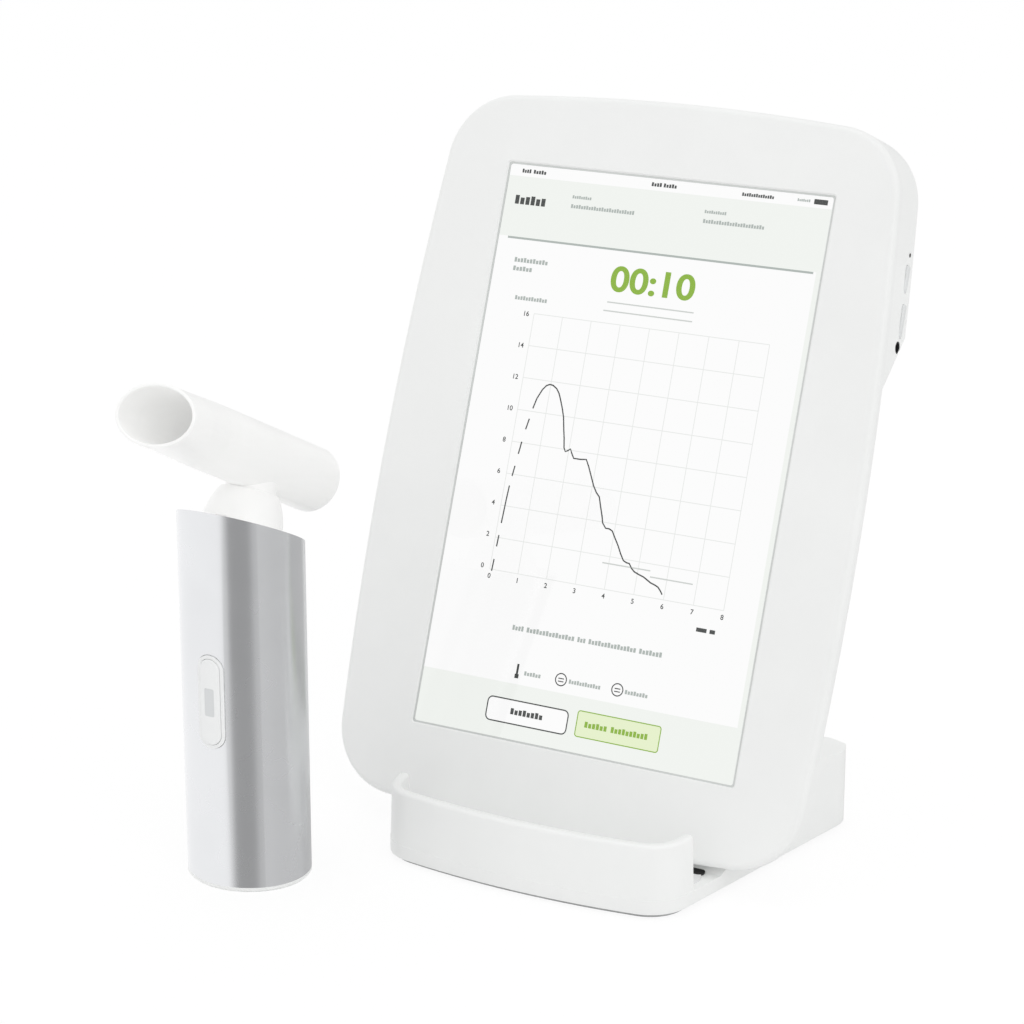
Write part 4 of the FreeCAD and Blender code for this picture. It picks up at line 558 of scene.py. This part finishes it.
def rounded_panel(name, x, low, width, length, corner, rim, rim_material, fill_material):
    """A button of the picture: a rounded outline and its fill."""
    shape = bmesh.new()
    bar(shape, x, low, width, length, line_lift)
    rounded(shape, shape.verts[:], corner, segments=6)
    rim_faces = bmesh.ops.inset_region(
        shape, faces=shape.faces[:], thickness=rim, use_boundary=True)["faces"]
    places = [0 if face in rim_faces else 1 for face in shape.faces]
    panel = on_tablet(mesh_of(name, shape), name, rim_material)
    panel.data.materials.append(fill_material)
    for polygon, place in zip(panel.data.polygons, places):
        polygon.material_index = place


rounded_panel("stop_panel", -39.6, 38.2, 34.8, 9.4, 2.2, 0.5, screen_ink, screen_white)
rounded_panel("save_panel", -1.4, 38.6, 34.8, 10.0, 1.2, 0.4, screen_green, screen_mint)
bars("stop_word", screen_ink, top_lift, blocks([(-29.2, 42.0, 14.0, 2.3)]))
bars("save_word", screen_green, top_lift, blocks([(2.2, 42.6, 9.6, 2.2), (13.2, 42.6, 15.4, 2.2)]))

ring_radius = 2.5
ring_width = 0.45
sign_width = 2.4
sign_line = 0.4
icon_meshes = []
for x, middle in ((-10.6, 58.3), (13.0, 58.6)):
    shape = bmesh.new()
    bmesh.ops.create_circle(
        shape, cap_ends=True, segments=28, radius=ring_radius,
        matrix=Matrix.Translation((picture_x + x, middle, picture_depth + mark_lift)))
    ring = bmesh.ops.inset_region(
        shape, faces=shape.faces[:], thickness=ring_width, use_boundary=True)["faces"]
    bmesh.ops.delete(shape, geom=[face for face in shape.faces if face not in ring], context="FACES")
    for low in (-0.9, 0.2):
        bar(shape, x - sign_width / 2, middle + low, sign_width, sign_line, mark_lift)
    icon_meshes.append(mesh_of("icon", shape))
shape = bmesh.new()
bar(shape, -29.7, 56.4, 0.9, 4.6, mark_lift)
bar(shape, -30.1, 55.6, 1.7, 1.6, mark_lift)
icon_meshes.append(mesh_of("icon", shape))
joined("readout_icons", icon_meshes, screen_ink)

# Handset sleeve and cap
# Oval aluminium extrusion, fine-blasted and anodised, cut off at a slant.
# It stands on a white cap that is screwed to the frame inside.

sleeve_metal = finish(
    "sleeve_metal", tone(226, 227, 229), tone(222, 223, 225), (0.24, 0.28), grain=3000, clouds=30,
    relief=0.004, Metallic=1.0, Anisotropic=0.8, Anisotropic_Rotation=0.25)
nodes, links = sleeve_metal.node_tree.nodes, sleeve_metal.node_tree.links
circumference = nodes.new("ShaderNodeTangent")
circumference.direction_type = "RADIAL"
circumference.axis = "Z"
links.new(circumference.outputs["Tangent"], nodes["Principled BSDF"].inputs["Tangent"])
dress(sleeve_metal, "handset_sleeve")
# The cap takes the white shell's faint glow, painted light.
dress(white_shell, "bottom_cap")
dress(plated_steel, "cap_screws")

# Inside the handset
# Grey frame with the round cell, and the sensor with its seals.
# Its board has the green finish of the other boards.

dress(grey_plastic, "inner_frame", "handset_battery")
dress(black_plastic, "pressure_sensor", "button_switch")
dress(black_rubber, "port_seals")

# Start button
# White key in a white surround, pressed inwards.
# A narrow grey window in its middle follows the key's curved face.

white_key = finish("white_key", tone(246, 247, 247), tone(243, 244, 244), (0.35, 0.42))
dress(white_key, "button_surround", "start_button")
window_grey = finish("window_grey", tone(222, 224, 225), tone(216, 218, 219), (0.2, 0.3))
key_window_size = (4.0 * mm, 10.5 * mm)
key_window_corner = 0.6 * mm
key_window_middle = Vector((-96.2 * mm, -0.2, 72.6 * mm))
key_window_lift = 0.03 * mm
cut_step = 0.5 * mm
key_window = bmesh.new()
corners = bmesh.ops.create_grid(
    key_window, x_segments=1, y_segments=1, size=0.5,
    matrix=Matrix.Diagonal((*key_window_size, 1.0, 1.0)))["verts"]
rounded(key_window, corners, key_window_corner, segments=4)
for step in range(-3, 4):
    bmesh.ops.bisect_plane(
        key_window, geom=key_window.verts[:] + key_window.edges[:] + key_window.faces[:],
        plane_co=(step * cut_step, 0, 0), plane_no=(1, 0, 0))
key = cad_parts["start_button"]
to_key = key.matrix_world.inverted()
inwards = (to_key.to_3x3() @ Vector((0, 1, 0))).normalized()
for vert in key_window.verts:
    start = key_window_middle + Vector((vert.co.x, 0, vert.co.y))
    spot = key.ray_cast(to_key @ start, inwards)[1]
    vert.co = key.matrix_world @ spot - Vector((0, key_window_lift, 0))
bmesh.ops.recalc_face_normals(key_window, faces=key_window.faces[:])
for face in key_window.faces:
    if face.normal.y > 0:
        face.normal_flip()
key_window_mesh = mesh_of("button_window", key_window)
key_window_mesh.materials.append(window_grey)
button_window = shown("button_window", key_window_mesh)
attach(button_window, "start_button_cap")

# Sensor head and breathing tube
# White mouldings: the collar over the slanted lid, and the push-in tube with
# its steel screen. Both are smoother than the shells, so they wipe clean.

# Both glow faintly, painted light that evens their shading.
glowing_tube_white = finish(
    "glowing_tube_white", tone(243, 243, 242), tone(240, 240, 239), (0.32, 0.4), grain=1600, relief=0.01,
    Emission_Color=white, Emission_Strength=0.12)
dress(glowing_tube_white, "sensor_head", "breathing_tube")
dress(plated_steel, "flow_screen")

# Floor
# A plain white studio floor that runs out of the picture.
# It is open to reflections, which show the room's walls instead.

floor_reach = 6.0
glow_strength = 1.03
glow_share = 0.86
shape = bmesh.new()
bmesh.ops.create_grid(shape, x_segments=1, y_segments=1, size=floor_reach)
floor_mesh = mesh_of("floor", shape)
floor = shown("floor", floor_mesh)
paper = bpy.data.materials.new("floor_paper")
paper.use_nodes = True
nodes, links = paper.node_tree.nodes, paper.node_tree.links
matt = nodes["Principled BSDF"]
matt.inputs["Base Color"].default_value = (0.9, 0.9, 0.9, 1.0)
matt.inputs["Roughness"].default_value = 0.9
glow = nodes.new("ShaderNodeEmission")
glow.inputs["Strength"].default_value = glow_strength
path = nodes.new("ShaderNodeLightPath")
seen = nodes.new("ShaderNodeMath")
seen.operation = "MAXIMUM"
links.new(path.outputs["Is Camera Ray"], seen.inputs[0])
links.new(path.outputs["Is Transmission Ray"], seen.inputs[1])
share = nodes.new("ShaderNodeMath")
share.operation = "MULTIPLY"
share.inputs[1].default_value = glow_share
links.new(seen.outputs["Value"], share.inputs[0])
blend = nodes.new("ShaderNodeMixShader")
links.new(share.outputs["Value"], blend.inputs["Fac"])
links.new(matt.outputs["BSDF"], blend.inputs[1])
links.new(glow.outputs["Emission"], blend.inputs[2])
open_floor = nodes.new("ShaderNodeBsdfTransparent")
mirrored = nodes.new("ShaderNodeMixShader")
links.new(path.outputs["Is Glossy Ray"], mirrored.inputs["Fac"])
links.new(blend.outputs["Shader"], mirrored.inputs[1])
links.new(open_floor.outputs["BSDF"], mirrored.inputs[2])
links.new(mirrored.outputs["Shader"], nodes["Material Output"].inputs["Surface"])
floor_mesh.materials.append(paper)

# Studio
# A white room: soft light from all round and wide lamps above at the right.
# Its walls have tones of their own, by bearing, that only gloss shows.

room_strength = 0.83
wall_strength = 1.12
wall_stops = [
    (0.0, 1.0), (0.222, 1.0), (0.262, 0.36), (0.350, 0.36), (0.392, 0.60), (0.650, 0.60),
    (0.680, 0.54), (0.835, 0.54), (0.852, 1.0), (1.0, 1.0)]
room = bpy.data.worlds.new("room")
room.use_nodes = True
bpy.context.scene.world = room
nodes, links = room.node_tree.nodes, room.node_tree.links
ground = nodes["Background"]
ground.inputs["Color"].default_value = white
ground.inputs["Strength"].default_value = room_strength
backdrop = nodes.new("ShaderNodeBackground")
backdrop.inputs["Color"].default_value = white
backdrop.inputs["Strength"].default_value = 1.0
walls = nodes.new("ShaderNodeBackground")
direction = nodes.new("ShaderNodeTexCoord")
parts = nodes.new("ShaderNodeSeparateXYZ")
links.new(direction.outputs["Generated"], parts.inputs["Vector"])
bearing = nodes.new("ShaderNodeMath")
bearing.operation = "ARCTAN2"
links.new(parts.outputs["Y"], bearing.inputs[0])
links.new(parts.outputs["X"], bearing.inputs[1])
turn = nodes.new("ShaderNodeMapRange")
turn.inputs["From Min"].default_value = -pi
turn.inputs["From Max"].default_value = pi
links.new(bearing.outputs["Value"], turn.inputs["Value"])
wall_tones = nodes.new("ShaderNodeValToRGB")
given_stops = len(wall_tones.color_ramp.elements)
for index, (bearing_share, value) in enumerate(wall_stops):
    if index < given_stops:
        stop = wall_tones.color_ramp.elements[index]
        stop.position = bearing_share
    else:
        stop = wall_tones.color_ramp.elements.new(bearing_share)
    stop.color = (value, value, value, 1.0)
links.new(turn.outputs["Result"], wall_tones.inputs["Fac"])
links.new(wall_tones.outputs["Color"], walls.inputs["Color"])
walls.inputs["Strength"].default_value = wall_strength
path = nodes.new("ShaderNodeLightPath")
gloss_mix = nodes.new("ShaderNodeMixShader")
links.new(path.outputs["Is Glossy Ray"], gloss_mix.inputs["Fac"])
links.new(ground.outputs["Background"], gloss_mix.inputs[1])
links.new(walls.outputs["Background"], gloss_mix.inputs[2])
seen = nodes.new("ShaderNodeMath")
seen.operation = "MAXIMUM"
links.new(path.outputs["Is Camera Ray"], seen.inputs[0])
links.new(path.outputs["Is Transmission Ray"], seen.inputs[1])
camera_mix = nodes.new("ShaderNodeMixShader")
links.new(seen.outputs["Value"], camera_mix.inputs["Fac"])
links.new(gloss_mix.outputs["Shader"], camera_mix.inputs[1])
links.new(backdrop.outputs["Background"], camera_mix.inputs[2])
links.new(camera_mix.outputs["Shader"], nodes["World Output"].inputs["Surface"])


def lamp(name, place, target, size, power):
    """A round area lamp that faces its target."""
    light = bpy.data.lights.new(name, "AREA")
    light.shape = "DISK"
    light.size = size
    light.energy = power
    way = Vector(target) - Vector(place)
    turned = way.to_track_quat("-Z", "Y").to_matrix().to_4x4()
    shown(name, light).matrix_world = Matrix.Translation(place) @ turned


lamp("key_lamp", (3.8, -2.4, 3.1), (0.0, 0.0, 0.12), 3.2, 36)
lamp("top_lamp", (-0.6, -0.5, 4.4), (0.0, 0.0, 0.1), 3.2, 16)

# Camera
# Its place, turn and lens come from the display's four corners in the photo.
# The picture keeps the standard view, so whites stay as they are lit.

camera_place = (501.95 * mm, -948.72 * mm, 459.97 * mm)
camera_dip = 17.209
camera_bearing = 29.604
camera_data = bpy.data.cameras.new("camera")
camera_data.lens = 107.56
camera_data.sensor_width = 36.0
camera_data.clip_start = 0.05
camera = shown("camera", camera_data)
camera.location = camera_place
camera.rotation_euler = (radians(90 - camera_dip), 0.0, radians(camera_bearing))
bpy.context.scene.camera = camera
bpy.context.scene.view_settings.view_transform = "Standard"
